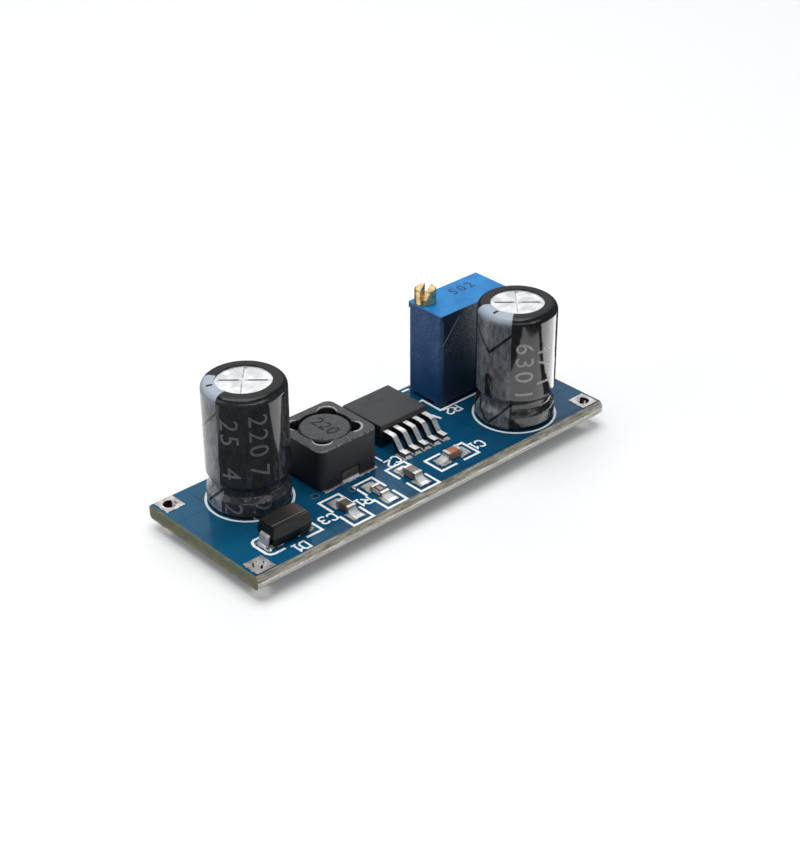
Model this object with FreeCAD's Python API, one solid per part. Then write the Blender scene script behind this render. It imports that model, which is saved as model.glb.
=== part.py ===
import FreeCAD, Part
import math
import os

# Buck converter module on a small board, in millimetres.
# X runs along the board, Y across it towards the tab of the regulator, Z is up.
# The origin is the middle of the board in plan, on the plane that the trimmed leads rest on.

# Fits shared by many pieces
seat_gap = 0.02
running_gap = 0.05
hair = 0.001

# Chords in each quarter of a revolved rounding, and in the hollow of a solder wedge
bend_chords = 2
wedge_chords = 4

# Turns in degrees that place a copy at each end and at each corner
both_ends = (0, 180)
four_corners = (45, 135, 225, 315)

# Board
board_thickness = 1.5
board_corner_radius = 0.4
ridge_reach = 0.55
ridge_height = 0.3
lead_stub = 1.2
foil = 0.06
plating = 0.06

# Corner terminals
terminal_hole_diameter = 1.3
terminal_land_side = 2.1
terminal_inset_x = 1.35
terminal_inset_y = 1.15

# Can capacitors
output_can_diameter = 8.0
output_can_height = 12.72
input_can_diameter = 8.0
input_can_height = 12.55
can_stand_off = 0.25
sleeve_thickness = 0.11
sleeve_window_radius = 2.66
can_shoulder_radius = 0.75
can_foot_rise = 0.45
can_foot_taper = 0.25
crimp_height = 2.6
crimp_half_width = 1.05
crimp_flank = 0.6
crimp_depth = 0.38
vent_groove_width = 0.22
vent_groove_depth = 0.07
vent_groove_reach = 2.35
vent_angle = -42.5
can_lead_diameter = 0.6
can_lead_pitch = 3.5
output_lead_angle = 180.0
input_lead_angle = 180.0

# Wired joints
lead_hole_clearance = 0.1
solder_dome_radius = 0.9
solder_tip_radius = 0.35

# Shielded inductor
inductor_side = 7.3
inductor_corner_radius = 0.95
inductor_height = 4.4
inductor_base_thickness = 0.25
core_flange_radius = 2.55
core_flange_thickness = 0.85
core_hub_radius = 1.15
core_recess = 0.06
core_groove = 0.16
core_bevel = 0.2
shield_bevel = 0.12
winding_clearance = 0.08
pocket_width = 1.9
pocket_reach = 3.4
pocket_depth = 1.1
pocket_corner_radius = 0.35
clip_width = 2.05
clip_thickness = 0.15
clip_height = 1.2
clip_foot_length = 1.4
clip_notch_margin = 0.12
inductor_land_width = 6.6
inductor_land_length = 1.9
inductor_land_overhang = 0.2

# Regulator
regulator_width = 6.55
regulator_depth = 6.1
regulator_height = 2.3
regulator_parting_height = 1.35
regulator_top_draft = 0.27
regulator_bottom_draft = 0.1
tab_width = 5.3
tab_thickness = 0.5
tab_reach = 0.9
tab_chamfer = 0.6
slug_depth = 4.4
regulator_lead_count = 5
regulator_lead_pitch = 1.27
regulator_lead_width = 0.58
regulator_lead_thickness = 0.5
regulator_lead_height = 1.45
regulator_lead_reach = 3.1
regulator_shelf = 1.1
regulator_foot_length = 1.05
regulator_lead_inset = 0.6
regulator_bend_radius = 0.16
regulator_land_width = 0.95
regulator_land_length = 1.5
tab_land_margin = 0.12

# Diode
diode_length = 4.3
diode_width = 2.6
diode_height = 2.3
diode_parting_height = 1.15
diode_draft = 0.22
diode_end_draft = 0.16
diode_lead_width = 1.25
diode_lead_thickness = 0.2
diode_lead_shelf = 0.12
diode_lead_reach = 0.5
diode_foot_length = 1.2
diode_lead_inset = 0.35
diode_bend_radius = 0.1
diode_land_length = 1.9
diode_land_width = 1.8

# Chips
chip_length = 1.7
chip_width = 0.95
chip_cap_length = 0.33
chip_skin = 0.03
ceramic_height = 0.8
resistor_height = 0.5
glaze_thickness = 0.04
chip_land_width = 1.45
chip_land_length = 1.35
chip_land_span = 3.9
chip_solder_rise = 0.7

# Trimmer
trimmer_length = 9.53
trimmer_depth = 4.83
trimmer_height = 10.03
trimmer_foot_height = 0.38
trimmer_foot_side = 0.9
trimmer_wall = 0.4
trimmer_roof = 1.2
trimmer_edge_radius = 0.45
trimmer_lid_height = 0.6
trimmer_lid_radius = 0.12
screw_from_end = 1.18
screw_from_back = 1.25
screw_head_radius = 1.1
screw_head_height = 1.5
screw_head_bevel = 0.1
screw_slot_width = 0.62
screw_slot_depth = 0.9
screw_slot_angle = 33.0
screw_neck_radius = 0.7
screw_tip_radius = 0.3
screw_tip_depth = 0.35
rotor_teeth = 30
rotor_module = 0.22
rotor_width = 0.5
tooth_addendum = 0.14
tooth_dedendum = 0.2
tooth_pitch_width = 0.22
thread_pitch_width = 0.2
flank_angle = 20.0
worm_turns = 2.5
rotor_height = 5.25
rotor_drum_radius = 2.2
rotor_drum_length = 1.15
rotor_post_radius = 0.8
rotor_bore_depth = 1.0
seal_groove_depth = 0.2
clip_plate_thickness = 0.25
clip_groove_depth = 0.2
clip_plate_side = 1.36
element_thickness = 0.8
element_margin = 0.3
track_thickness = 0.05
track_radius = 1.75
track_width = 0.5
track_gap_angle = 70.0
collector_radius = 0.85
wiper_thickness = 0.12
wiper_arm_width = 0.45
wiper_boss_radius = 0.3
wiper_angle = 140.0
trimmer_base_thickness = 0.9
trimmer_pin_diameter = 0.5
trimmer_pin_pitch = 2.54
trimmer_pin_rise = 0.8
conductor_width = 0.5

# Places along the board: the back row, left to right, sets the board's length
output_can_left_margin = 3.63
can_to_inductor = 1.22
inductor_to_regulator = 2.2
regulator_to_trimmer = 3.1
trimmer_right_margin = 3.47

# Places across the board: the input capacitor and the trimmer set the board's width
input_can_front_margin = 0.42
can_to_trimmer = 1.535
trimmer_back_margin = 0.815
output_can_back_margin = 1.26
inductor_back_margin = 2.17
tab_back_margin = 0.25
input_can_right_margin = 4.05

# Places of the front row
terminal_to_diode = 0.87
diode_front_margin = 1.8
diode_to_chips = 3.52
chip_row_front_margin = 0.62
chip_pitch = 4.2
chip_to_bypass = 2.52
bypass_front_margin = 1.8


# Values worked out from the driving dimensions

board_length = (output_can_left_margin + output_can_diameter + can_to_inductor + inductor_side
                + inductor_to_regulator + regulator_width + regulator_to_trimmer
                + trimmer_length + trimmer_right_margin)
board_width = (input_can_front_margin + input_can_diameter + can_to_trimmer
               + trimmer_depth + trimmer_back_margin)
left_edge = -board_length / 2
right_edge = board_length / 2
front_edge = -board_width / 2
back_edge = board_width / 2
board_bottom = lead_stub
board_top = lead_stub + board_thickness
land_top = board_top + foil

terminal_x = right_edge - terminal_inset_x
terminal_y = back_edge - terminal_inset_y

output_can_x = left_edge + output_can_left_margin + output_can_diameter / 2
output_can_y = back_edge - output_can_back_margin - output_can_diameter / 2
input_can_x = right_edge - input_can_right_margin - input_can_diameter / 2
input_can_y = front_edge + input_can_front_margin + input_can_diameter / 2

inductor_x = output_can_x + output_can_diameter / 2 + can_to_inductor + inductor_side / 2
inductor_y = back_edge - inductor_back_margin - inductor_side / 2

regulator_x = inductor_x + inductor_side / 2 + inductor_to_regulator + regulator_width / 2
regulator_back = back_edge - tab_back_margin - tab_reach
regulator_y = regulator_back - regulator_depth / 2
regulator_front = regulator_back - regulator_depth

trimmer_left = right_edge - trimmer_right_margin - trimmer_length
trimmer_back = back_edge - trimmer_back_margin
trimmer_front = trimmer_back - trimmer_depth
trimmer_bottom = board_top + trimmer_foot_height
trimmer_top = trimmer_bottom + trimmer_height

terminal_inner = left_edge + terminal_inset_x + terminal_land_side / 2
diode_x = terminal_inner + terminal_to_diode + diode_lead_reach + diode_length / 2
diode_y = front_edge + diode_front_margin + diode_width / 2

chip_row_x = diode_x + diode_length / 2 + diode_lead_reach + diode_to_chips + chip_land_width / 2
chip_row_y = front_edge + chip_row_front_margin + chip_land_span / 2
feedback_x = chip_row_x + 2 * chip_pitch
bypass_x = feedback_x + chip_land_width / 2 + chip_to_bypass + chip_land_span / 2
bypass_y = front_edge + bypass_front_margin + chip_land_width / 2

x_axis = FreeCAD.Vector(1, 0, 0)
y_axis = FreeCAD.Vector(0, 1, 0)
z_axis = FreeCAD.Vector(0, 0, 1)
origin = FreeCAD.Vector(0, 0, 0)


# Shared shape helpers

def box(x0, x1, y0, y1, z0, z1):
    """Block between two corners."""
    return Part.makeBox(x1 - x0, y1 - y0, z1 - z0, FreeCAD.Vector(x0, y0, z0))


def slab(x, y, width, depth, z0, z1):
    """Block centred on x, y."""
    return box(x - width / 2, x + width / 2, y - depth / 2, y + depth / 2, z0, z1)


def rod(x, y, radius, z0, z1):
    """Upright cylinder."""
    return Part.makeCylinder(radius, z1 - z0, FreeCAD.Vector(x, y, z0), z_axis)


def round_uprights(shape, radius):
    """Shape with its upright edges rounded."""
    uprights = [edge for edge in shape.Edges
                if abs(edge.tangentAt(edge.FirstParameter).z) > 1 - hair]
    return shape.makeFillet(radius, uprights)


def section(start, *steps):
    """Closed face in the XZ plane: a step of two numbers is a line, one of four an arc through a point."""
    edges = []
    here = FreeCAD.Vector(start[0], 0, start[1])
    first = here
    for step in steps:
        there = FreeCAD.Vector(step[-2], 0, step[-1])
        if len(step) == 4:
            middle = FreeCAD.Vector(step[0], 0, step[1])
            edges.append(Part.Arc(here, middle, there).toShape())
        else:
            edges.append(Part.LineSegment(here, there).toShape())
        here = there
    if here.distanceToPoint(first) > hair:
        edges.append(Part.LineSegment(here, first).toShape())
    return Part.Face(Part.Wire(edges))


def bend(x, z, radius, start, end):
    """Points of a rounded stretch about a centre, between two angles in degrees."""
    turn = (end - start) / bend_chords
    angles = [math.radians(start + turn * step) for step in range(bend_chords + 1)]
    return [(x + radius * math.cos(angle), z + radius * math.sin(angle)) for angle in angles]


def turned(face, x, y):
    """Solid of revolution of an XZ face about the upright line through x, y."""
    solid = face.revolve(origin, z_axis, 360)
    solid.translate(FreeCAD.Vector(x, y, 0))
    return solid


def strip(points, thickness, inner_radius, width):
    """Bent strip that follows points in the XZ plane with rounded bends, centred on Y."""
    path = [FreeCAD.Vector(p[0], 0, p[1]) for p in points]
    radius = inner_radius + thickness / 2
    runs = []
    for before, after in zip(path, path[1:]):
        run = after - before
        runs.append(run.normalize())

    def side(sign):
        edges = []
        reach = sign * thickness / 2
        here = path[0] + left_of(runs[0]) * reach
        for vertex, run_in, run_out in zip(path[1:], runs, runs[1:]):
            turn = run_in.cross(run_out).dot(FreeCAD.Vector(0, -1, 0))
            inward = 1 if turn > 0 else -1
            angle = run_in.getAngle(run_out)
            tangent = radius * math.tan(angle / 2)
            arc_start = vertex - run_in * tangent
            arc_end = vertex + run_out * tangent
            centre = arc_start + left_of(run_in) * (inward * radius)
            outward = (vertex - centre).normalize()
            arc_middle = centre + outward * (radius - inward * reach)
            a = arc_start + left_of(run_in) * reach
            b = arc_end + left_of(run_out) * reach
            edges.append(Part.LineSegment(here, a).toShape())
            edges.append(Part.Arc(a, arc_middle, b).toShape())
            here = b
        end = path[-1] + left_of(runs[-1]) * reach
        edges.append(Part.LineSegment(here, end).toShape())
        return edges, path[0] + left_of(runs[0]) * reach, end

    left_edges, left_start, left_end = side(1)
    right_edges, right_start, right_end = side(-1)
    ends = [Part.LineSegment(left_start, right_start).toShape(),
            Part.LineSegment(left_end, right_end).toShape()]
    wire = Part.Wire(Part.__sortEdges__(left_edges + right_edges + ends))
    solid = Part.Face(wire).extrude(FreeCAD.Vector(0, width, 0))
    solid.translate(FreeCAD.Vector(0, -width / 2, 0))
    return solid


def left_of(run):
    """Unit vector to the left of a run in the XZ plane, seen with X to the right and Z up."""
    return FreeCAD.Vector(-run.z, 0, run.x)


def moulded(x, y, layers):
    """Drafted block: ruled loft through rectangles given as width, depth and height."""
    wires = []
    for width, depth, z in layers:
        corners = [FreeCAD.Vector(x + sx * width / 2, y + sy * depth / 2, z)
                   for sx, sy in ((-1, -1), (1, -1), (1, 1), (-1, 1), (-1, -1))]
        wires.append(Part.makePolygon(corners))
    return Part.makeLoft(wires, True, True)


def placed(shape, angle, x, y, z=0.0):
    """Copy turned about the upright line through the origin and then moved."""
    copy = shape.copy()
    copy.rotate(origin, z_axis, angle)
    copy.translate(FreeCAD.Vector(x, y, z))
    return copy


def on_circle(x, y, radius, angle):
    """Point at an angle in degrees on a circle."""
    return (x + radius * math.cos(math.radians(angle)),
            y + radius * math.sin(math.radians(angle)))


def save(name, shape):
    """Write one node."""
    shape.exportStep(os.path.join("parts", name + ".step"))


def together(shapes):
    """Separate solids that share one node."""
    return Part.makeCompound(shapes)


# Wired leads: where every lead passes through the board

def can_lead_places(x, y, angle):
    return [on_circle(x, y, can_lead_pitch / 2, angle + half_turn) for half_turn in both_ends]


def trimmer_pin_places():
    middle = trimmer_left + trimmer_length / 2
    y = (trimmer_front + trimmer_wall + element_thickness + track_thickness + seat_gap
         + trimmer_pin_diameter / 2)
    return [(middle + step * trimmer_pin_pitch, y) for step in (-1, 0, 1)]


output_leads = can_lead_places(output_can_x, output_can_y, output_lead_angle)
input_leads = can_lead_places(input_can_x, input_can_y, input_lead_angle)
trimmer_pins = trimmer_pin_places()
can_lead_radius = can_lead_diameter / 2
trimmer_pin_radius = trimmer_pin_diameter / 2
wired = [(x, y, can_lead_radius) for x, y in output_leads + input_leads]
wired += [(x, y, trimmer_pin_radius) for x, y in trimmer_pins]
terminals = {
    "terminal_output_minus": (-terminal_x, terminal_y),
    "terminal_output_plus": (-terminal_x, -terminal_y),
    "terminal_input_plus": (terminal_x, -terminal_y),
    "terminal_input_minus": (terminal_x, terminal_y),
}


# Board and copper

def board():
    """Laminate with score ridges along its long edges, drilled for terminals, leads and vias."""
    middle = (board_bottom + board_top) / 2
    tip = back_edge + ridge_reach
    half_web = ridge_height / 2
    face = section((-back_edge, board_bottom), (back_edge, board_bottom),
                   (tip, middle - half_web), (tip, middle + half_web), (back_edge, board_top),
                   (-back_edge, board_top), (-tip, middle + half_web), (-tip, middle - half_web))
    plate = face.extrude(FreeCAD.Vector(0, board_length, 0))
    plate.translate(FreeCAD.Vector(0, -board_length / 2, 0))
    plate.rotate(origin, z_axis, -90)
    outline = slab(0, 0, board_length, 2 * tip, board_bottom, board_top)
    plate = plate.common(round_uprights(outline, board_corner_radius))
    holes = []
    for x, y in terminals.values():
        drill = terminal_hole_diameter / 2 + plating + seat_gap
        holes.append(rod(x, y, drill, 0, 2 * board_top))
    for x, y, radius in wired:
        holes.append(rod(x, y, radius + lead_hole_clearance, 0, 2 * board_top))
    return plate.cut(holes)


def terminal(x, y):
    """Plated hole: square land on each face of the board, joined by a barrel."""
    bore = terminal_hole_diameter / 2
    side = terminal_land_side
    body = rod(x, y, bore + plating, board_bottom - foil, land_top)
    body = body.fuse([slab(x, y, side, side, board_top, land_top),
                      slab(x, y, side, side, board_bottom - foil, board_bottom)])
    return body.cut(rod(x, y, bore, 0, 2 * board_top)).removeSplitter()


def write_board():
    save("board", board())
    for name, (x, y) in terminals.items():
        save(name, terminal(x, y))


# Solder

def solder_wedge(start, reach, rise, width):
    """Hollow-sided wedge of solder that climbs an upright face at X = start, centred on Y."""
    end = start + reach
    lip = land_top + foil
    top = land_top + rise
    angles = [math.pi / 2 * step / wedge_chords for step in range(wedge_chords + 1)]
    hollow = [(end - reach * math.sin(angle), top - (top - lip) * math.cos(angle)) for angle in angles]
    face = section((start, land_top), (end, land_top), *hollow)
    wedge = face.extrude(FreeCAD.Vector(0, width, 0))
    wedge.translate(FreeCAD.Vector(0, -width / 2, 0))
    return wedge


def lead_joint(x, y):
    """Cone of solder that closes a plated hole over the clipped end of its lead."""
    return Part.makeCone(solder_tip_radius, solder_dome_radius, lead_stub, FreeCAD.Vector(x, y, 0), z_axis)


# Can capacitors

def can_outline(radius, height, offset):
    """Half section of the can, or of a skin that stands off it by an offset."""
    r = radius + offset
    foot = board_top + can_stand_off - offset
    top = board_top + height + offset
    high = can_shoulder_radius + offset
    crimp = board_top + crimp_height
    edge = crimp_half_width - offset
    floor = edge - crimp_flank
    return section((0, foot), (r - can_foot_taper, foot), (r, foot + can_foot_rise),
                   (r, crimp - edge), (r - crimp_depth, crimp - floor),
                   (r - crimp_depth, crimp + floor), (r, crimp + edge),
                   *bend(r - high, top - high, high, 0, 90), (0, top))


def capacitor(prefix, x, y, diameter, height, leads):
    """Sealed can, shrink sleeve and two leads of one capacitor."""
    skin = sleeve_thickness + seat_gap
    can_radius = diameter / 2 - skin
    can_height = height - skin
    top = board_top + can_height
    foot = board_top + can_stand_off
    can = turned(can_outline(can_radius, can_height, 0), x, y)
    for turn in (0, 90):
        groove = slab(0, 0, 2 * vent_groove_reach, vent_groove_width, top - vent_groove_depth, top + foil)
        can = can.cut(placed(groove, vent_angle + turn, x, y))
    sleeve = turned(can_outline(can_radius, can_height, skin), x, y)
    sleeve = sleeve.cut(turned(can_outline(can_radius, can_height, seat_gap), x, y))
    sleeve = sleeve.cut(rod(x, y, sleeve_window_radius, 0, 2 * top))
    save(prefix + "_can", can)
    save(prefix + "_sleeve", sleeve)
    for name, (lead_x, lead_y) in zip(("_minus_lead", "_plus_lead"), leads):
        save(prefix + name, rod(lead_x, lead_y, can_lead_radius, board_bottom, foot))


# Shielded inductor

def inductor():
    """Ferrite shield and drum core, winding, base plate and two terminal clips."""
    foot = land_top
    base_foot = foot + clip_thickness
    base_top = base_foot + inductor_base_thickness
    top = board_top + inductor_height
    half = inductor_side / 2
    bore = core_flange_radius + core_groove
    shield = round_uprights(slab(0, 0, inductor_side, inductor_side, base_top, top),
                            inductor_corner_radius)
    rim = [edge for edge in shield.Edges if edge.BoundBox.ZMin > top - hair]
    shield = shield.makeChamfer(shield_bevel, rim)
    shield = shield.cut(rod(0, 0, bore, foot, 2 * top))
    pocket = round_uprights(slab(pocket_reach / 2, 0, pocket_reach, pocket_width,
                                 top - pocket_depth, 2 * top), pocket_corner_radius)
    for corner in four_corners:
        shield = shield.cut(placed(pocket, corner, 0, 0))
    notch_width = clip_width + 2 * clip_notch_margin
    notch_depth = clip_thickness + clip_notch_margin
    notch = box(-notch_width / 2, notch_width / 2, -half, notch_depth - half,
                base_top, foot + clip_height + clip_notch_margin)
    base = round_uprights(slab(0, 0, inductor_side, inductor_side, base_foot, base_top),
                          inductor_corner_radius)
    base_notch = box(-notch_width / 2, notch_width / 2, -half, clip_thickness - half, foot, top)
    clip_line = [(clip_foot_length - half, foot + clip_thickness / 2),
                 (clip_thickness / 2 - half, foot + clip_thickness / 2),
                 (clip_thickness / 2 - half, foot + clip_height)]
    clip = strip(clip_line, clip_thickness, hair, clip_width)
    clips = []
    for turn in both_ends:
        shield = shield.cut(placed(notch, turn, 0, 0))
        base = base.cut(placed(base_notch, turn, 0, 0))
        clips.append(placed(clip, turn + 90, inductor_x, inductor_y))
    core_top = top - core_recess
    low = base_top + core_flange_thickness
    high = core_top - core_flange_thickness
    core = turned(section((0, base_top), (core_flange_radius, base_top), (core_flange_radius, low),
                          (core_hub_radius, low), (core_hub_radius, high),
                          (core_flange_radius, high), (core_flange_radius, core_top - core_bevel),
                          (core_flange_radius - core_bevel, core_top), (0, core_top)),
                  inductor_x, inductor_y)
    outer = core_flange_radius - winding_clearance
    inner = core_hub_radius + seat_gap
    winding = rod(inductor_x, inductor_y, outer, low, high)
    winding = winding.cut(rod(inductor_x, inductor_y, inner, 0, 2 * top))
    save("inductor_shield", placed(shield, 0, inductor_x, inductor_y))
    save("inductor_base", placed(base, 0, inductor_x, inductor_y))
    save("inductor_core", core)
    save("inductor_winding", winding)
    save("inductor_front_clip", clips[0])
    save("inductor_back_clip", clips[1])


def inductor_land_places():
    reach = inductor_side / 2 + inductor_land_overhang - inductor_land_length / 2
    return [(inductor_x, inductor_y - reach), (inductor_x, inductor_y + reach)]


def inductor_solder():
    """Small wedge of solder against the outside of each clip."""
    reach = inductor_land_overhang - seat_gap
    wedge = solder_wedge(inductor_side / 2, reach, 2 * clip_thickness, clip_width)
    return together([placed(wedge, turn, inductor_x, inductor_y) for turn in (90, 270)])


# Regulator

def regulator_lead_places():
    middle = (regulator_lead_count - 1) / 2
    return [regulator_x + (i - middle) * regulator_lead_pitch for i in range(regulator_lead_count)]


def regulator_lead(x):
    """Gull-wing lead: shelf out of the body, sloped leg and flat foot."""
    shelf = land_top + regulator_lead_height
    foot = land_top + regulator_lead_thickness / 2
    line = [(-regulator_lead_inset, shelf), (regulator_shelf, shelf),
            (regulator_lead_reach - regulator_foot_length, foot), (regulator_lead_reach, foot)]
    lead = strip(line, regulator_lead_thickness, regulator_bend_radius, regulator_lead_width)
    return placed(lead, -90, x, regulator_front)


def tab_outline():
    """Copper tab under the body, with clipped corners where it reaches out behind."""
    half = tab_width / 2
    inner = regulator_back - slug_depth
    outer = regulator_back + tab_reach
    points = [(-half, inner), (half, inner), (half, outer - tab_chamfer),
              (half - tab_chamfer, outer), (tab_chamfer - half, outer), (-half, outer - tab_chamfer)]
    corners = [FreeCAD.Vector(regulator_x + x, y, land_top) for x, y in points]
    face = Part.Face(Part.makePolygon(corners + corners[:1]))
    return face.extrude(FreeCAD.Vector(0, 0, tab_thickness))


def regulator():
    """Moulded body, copper tab and leads."""
    tab = tab_outline()
    leads = [regulator_lead(x) for x in regulator_lead_places()]
    body = moulded(regulator_x, regulator_y, [
        (regulator_width - 2 * regulator_bottom_draft, regulator_depth - 2 * regulator_bottom_draft,
         land_top),
        (regulator_width, regulator_depth, land_top + regulator_parting_height),
        (regulator_width - 2 * regulator_top_draft, regulator_depth - 2 * regulator_top_draft,
         board_top + regulator_height)])
    save("regulator_body", body.cut([tab] + leads))
    save("regulator_tab", tab)
    save("regulator_leads", together(leads))


def regulator_lands():
    lands = []
    reach = regulator_lead_reach - regulator_foot_length / 2
    for x in regulator_lead_places():
        lands.append(slab(x, regulator_front - reach, regulator_land_width, regulator_land_length,
                          board_top, land_top))
    half = tab_width / 2 + tab_land_margin
    lands.append(box(regulator_x - half, regulator_x + half, regulator_back - slug_depth,
                     regulator_back + tab_reach + tab_land_margin, board_top, land_top))
    return together(lands)


def regulator_solder():
    """Wedge of solder in front of each foot."""
    reach = (regulator_land_length - regulator_foot_length) / 2 - seat_gap
    wedge = solder_wedge(regulator_lead_reach, reach, regulator_lead_thickness / 2, regulator_lead_width)
    return together([placed(wedge, -90, x, regulator_front) for x in regulator_lead_places()])


# Diode

def diode():
    """Moulded body and two leads folded under its ends."""
    foot = land_top + diode_lead_thickness / 2
    shoulder = land_top + diode_parting_height
    half = diode_length / 2
    outside = half + diode_lead_reach - diode_lead_thickness / 2
    line = [(half - diode_lead_inset, shoulder), (half + diode_lead_shelf, shoulder),
            (outside, foot), (outside - diode_foot_length, foot)]
    lead = strip(line, diode_lead_thickness, diode_bend_radius, diode_lead_width)
    leads = [placed(lead, turn, diode_x, diode_y) for turn in both_ends]
    body = moulded(diode_x, diode_y, [
        (diode_length - 2 * diode_end_draft, diode_width - 2 * diode_draft,
         land_top + diode_lead_thickness + seat_gap),
        (diode_length, diode_width, shoulder),
        (diode_length - 2 * diode_end_draft, diode_width - 2 * diode_draft,
         board_top + diode_height)])
    save("diode_body", body.cut(leads))
    save("diode_anode_lead", leads[0])
    save("diode_cathode_lead", leads[1])


def diode_land_places():
    reach = diode_length / 2 + diode_lead_reach + seat_gap + diode_bend_radius - diode_land_length / 2
    return [(diode_x - reach, diode_y), (diode_x + reach, diode_y)]


def diode_solder():
    """Wedge of solder at the outside of each folded lead."""
    wedge = solder_wedge(diode_length / 2 + diode_lead_reach, diode_bend_radius,
                         2 * diode_lead_thickness, diode_lead_width)
    return together([placed(wedge, turn, diode_x, diode_y) for turn in both_ends])


# Chips: three capacitors and one resistor

chips = {
    "smoothing_chip": (chip_row_x, chip_row_y, 90, ceramic_height),
    "divider_chip": (chip_row_x + chip_pitch, chip_row_y, 90, resistor_height),
    "feedback_chip": (feedback_x, chip_row_y, 90, ceramic_height),
    "bypass_chip": (bypass_x, bypass_y, 0, ceramic_height),
}


def end_caps(height):
    """Two metal caps that wrap the ends of a chip lying along X."""
    caps = []
    for turn in both_ends:
        outer = box(chip_length / 2 - chip_cap_length, chip_length / 2, -chip_width / 2,
                    chip_width / 2, land_top, land_top + height)
        inner = box(0, chip_length / 2 - chip_skin, chip_skin - chip_width / 2,
                    chip_width / 2 - chip_skin, land_top + chip_skin, land_top + height - chip_skin)
        caps.append(placed(outer.cut(inner), turn, 0, 0))
    return caps


def chip_block(height):
    """Ceramic block inside the end caps."""
    return slab(0, 0, chip_length - 2 * chip_skin, chip_width - 2 * chip_skin,
                land_top + chip_skin, land_top + height - chip_skin)


def write_chips():
    for name, (x, y, turn, height) in chips.items():
        caps = [placed(cap, turn, x, y) for cap in end_caps(height)]
        save(name + "_caps", together(caps))
        save(name + "_body", placed(chip_block(height), turn, x, y))
    x, y, turn, height = chips["divider_chip"]
    length = chip_length - 2 * chip_cap_length - 2 * seat_gap
    top = land_top + height - chip_skin
    glaze = slab(0, 0, length, chip_width - 4 * chip_skin, top, top + glaze_thickness)
    save("divider_chip_glaze", placed(glaze, turn, x, y))


def chip_lands():
    lands = []
    reach = (chip_land_span - chip_land_length) / 2
    for x, y, turn, height in chips.values():
        for side in both_ends:
            land = slab(reach, 0, chip_land_length, chip_land_width, board_top, land_top)
            lands.append(placed(land, turn + side, x, y))
    return together(lands)


def chip_solder():
    """Wedge of solder from each end cap down to the outer edge of its land."""
    joints = []
    start = chip_length / 2
    reach = chip_land_span / 2 - start - seat_gap
    for x, y, turn, height in chips.values():
        wedge = solder_wedge(start, reach, height * chip_solder_rise, chip_width)
        for side in both_ends:
            joints.append(placed(wedge, turn + side, x, y))
    return together(joints)


# Trimmer

screw_x = trimmer_left + screw_from_end
screw_y = trimmer_back - screw_from_back
rotor_pitch_radius = rotor_module * rotor_teeth / 2
rotor_tip_radius = rotor_pitch_radius + tooth_addendum
rotor_root_radius = rotor_pitch_radius - tooth_dedendum
worm_pitch_radius = screw_neck_radius - tooth_addendum
worm_root_radius = worm_pitch_radius - tooth_dedendum
worm_lead = math.pi * rotor_module
flank = math.tan(math.radians(flank_angle))
rotor_x = screw_x + worm_pitch_radius + rotor_pitch_radius
worm_relief = math.sqrt(rotor_tip_radius ** 2 - (rotor_x - screw_x - screw_neck_radius) ** 2)
rotor_z = trimmer_bottom + rotor_height
rotor_back = screw_y + rotor_width / 2
drum_front = screw_y - rotor_width / 2 - rotor_drum_length
roof_underside = trimmer_top - trimmer_roof
trimmer_base_top = trimmer_bottom + trimmer_base_thickness
element_back = trimmer_front + trimmer_wall + element_thickness
screw_bore_radius = screw_neck_radius + running_gap
seal_groove_radius = screw_neck_radius - seal_groove_depth
seal_section_radius = (screw_bore_radius - seal_groove_radius) / 2 - seat_gap
seal_z = roof_underside + trimmer_roof / 2
retainer_top = roof_underside - seat_gap
retainer_foot = retainer_top - clip_plate_thickness
retainer_groove_radius = screw_neck_radius - clip_groove_depth


def lying_rod(x, z, radius, y0, y1):
    """Cylinder along Y."""
    return Part.makeCylinder(radius, y1 - y0, FreeCAD.Vector(x, y0, z), y_axis)


def trimmer_inside(y0, y1, z0, z1, margin):
    """Block that fills the housing from wall to wall, less a margin at its ends."""
    reach = trimmer_wall + margin
    return box(trimmer_left + reach, trimmer_left + trimmer_length - reach, y0, y1, z0, z1)


def trimmer_housing():
    """Moulded box under a sharper lid, open below, with a screw bore, a post for the rotor and feet."""
    right = trimmer_left + trimmer_length
    lid_foot = trimmer_top - trimmer_lid_height
    shell = box(trimmer_left, right, trimmer_front, trimmer_back, board_top, lid_foot)
    lid = box(trimmer_left, right, trimmer_front, trimmer_back, lid_foot, trimmer_top)
    shell = round_uprights(shell, trimmer_edge_radius).fuse(round_uprights(lid, trimmer_lid_radius))
    shell = shell.cut([
        box(trimmer_left, right, trimmer_front + trimmer_foot_side,
            trimmer_back - trimmer_foot_side, 0, trimmer_bottom),
        box(trimmer_left + trimmer_foot_side, right - trimmer_foot_side,
            trimmer_front, trimmer_back, 0, trimmer_bottom),
        trimmer_inside(trimmer_front + trimmer_wall, trimmer_back - trimmer_wall,
                       0, roof_underside, 0),
        rod(screw_x, screw_y, screw_bore_radius, 0, 2 * trimmer_top)])
    post_front = rotor_back - rotor_bore_depth + running_gap
    post = lying_rod(rotor_x, rotor_z, rotor_post_radius, post_front, trimmer_back - trimmer_wall)
    return shell.fuse(post).removeSplitter()


def trimmer_base():
    """Plate that closes the housing, with holes for the pins and a socket for the screw's tip."""
    base = trimmer_inside(trimmer_front + trimmer_wall + seat_gap, trimmer_back - trimmer_wall - seat_gap,
                          trimmer_bottom, trimmer_base_top, seat_gap)
    socket = rod(screw_x, screw_y, screw_tip_radius + running_gap,
                 trimmer_base_top - screw_tip_depth - running_gap, trimmer_top)
    holes = [rod(x, y, trimmer_pin_radius + seat_gap, 0, trimmer_top) for x, y in trimmer_pins]
    return base.cut([socket] + holes)


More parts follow.
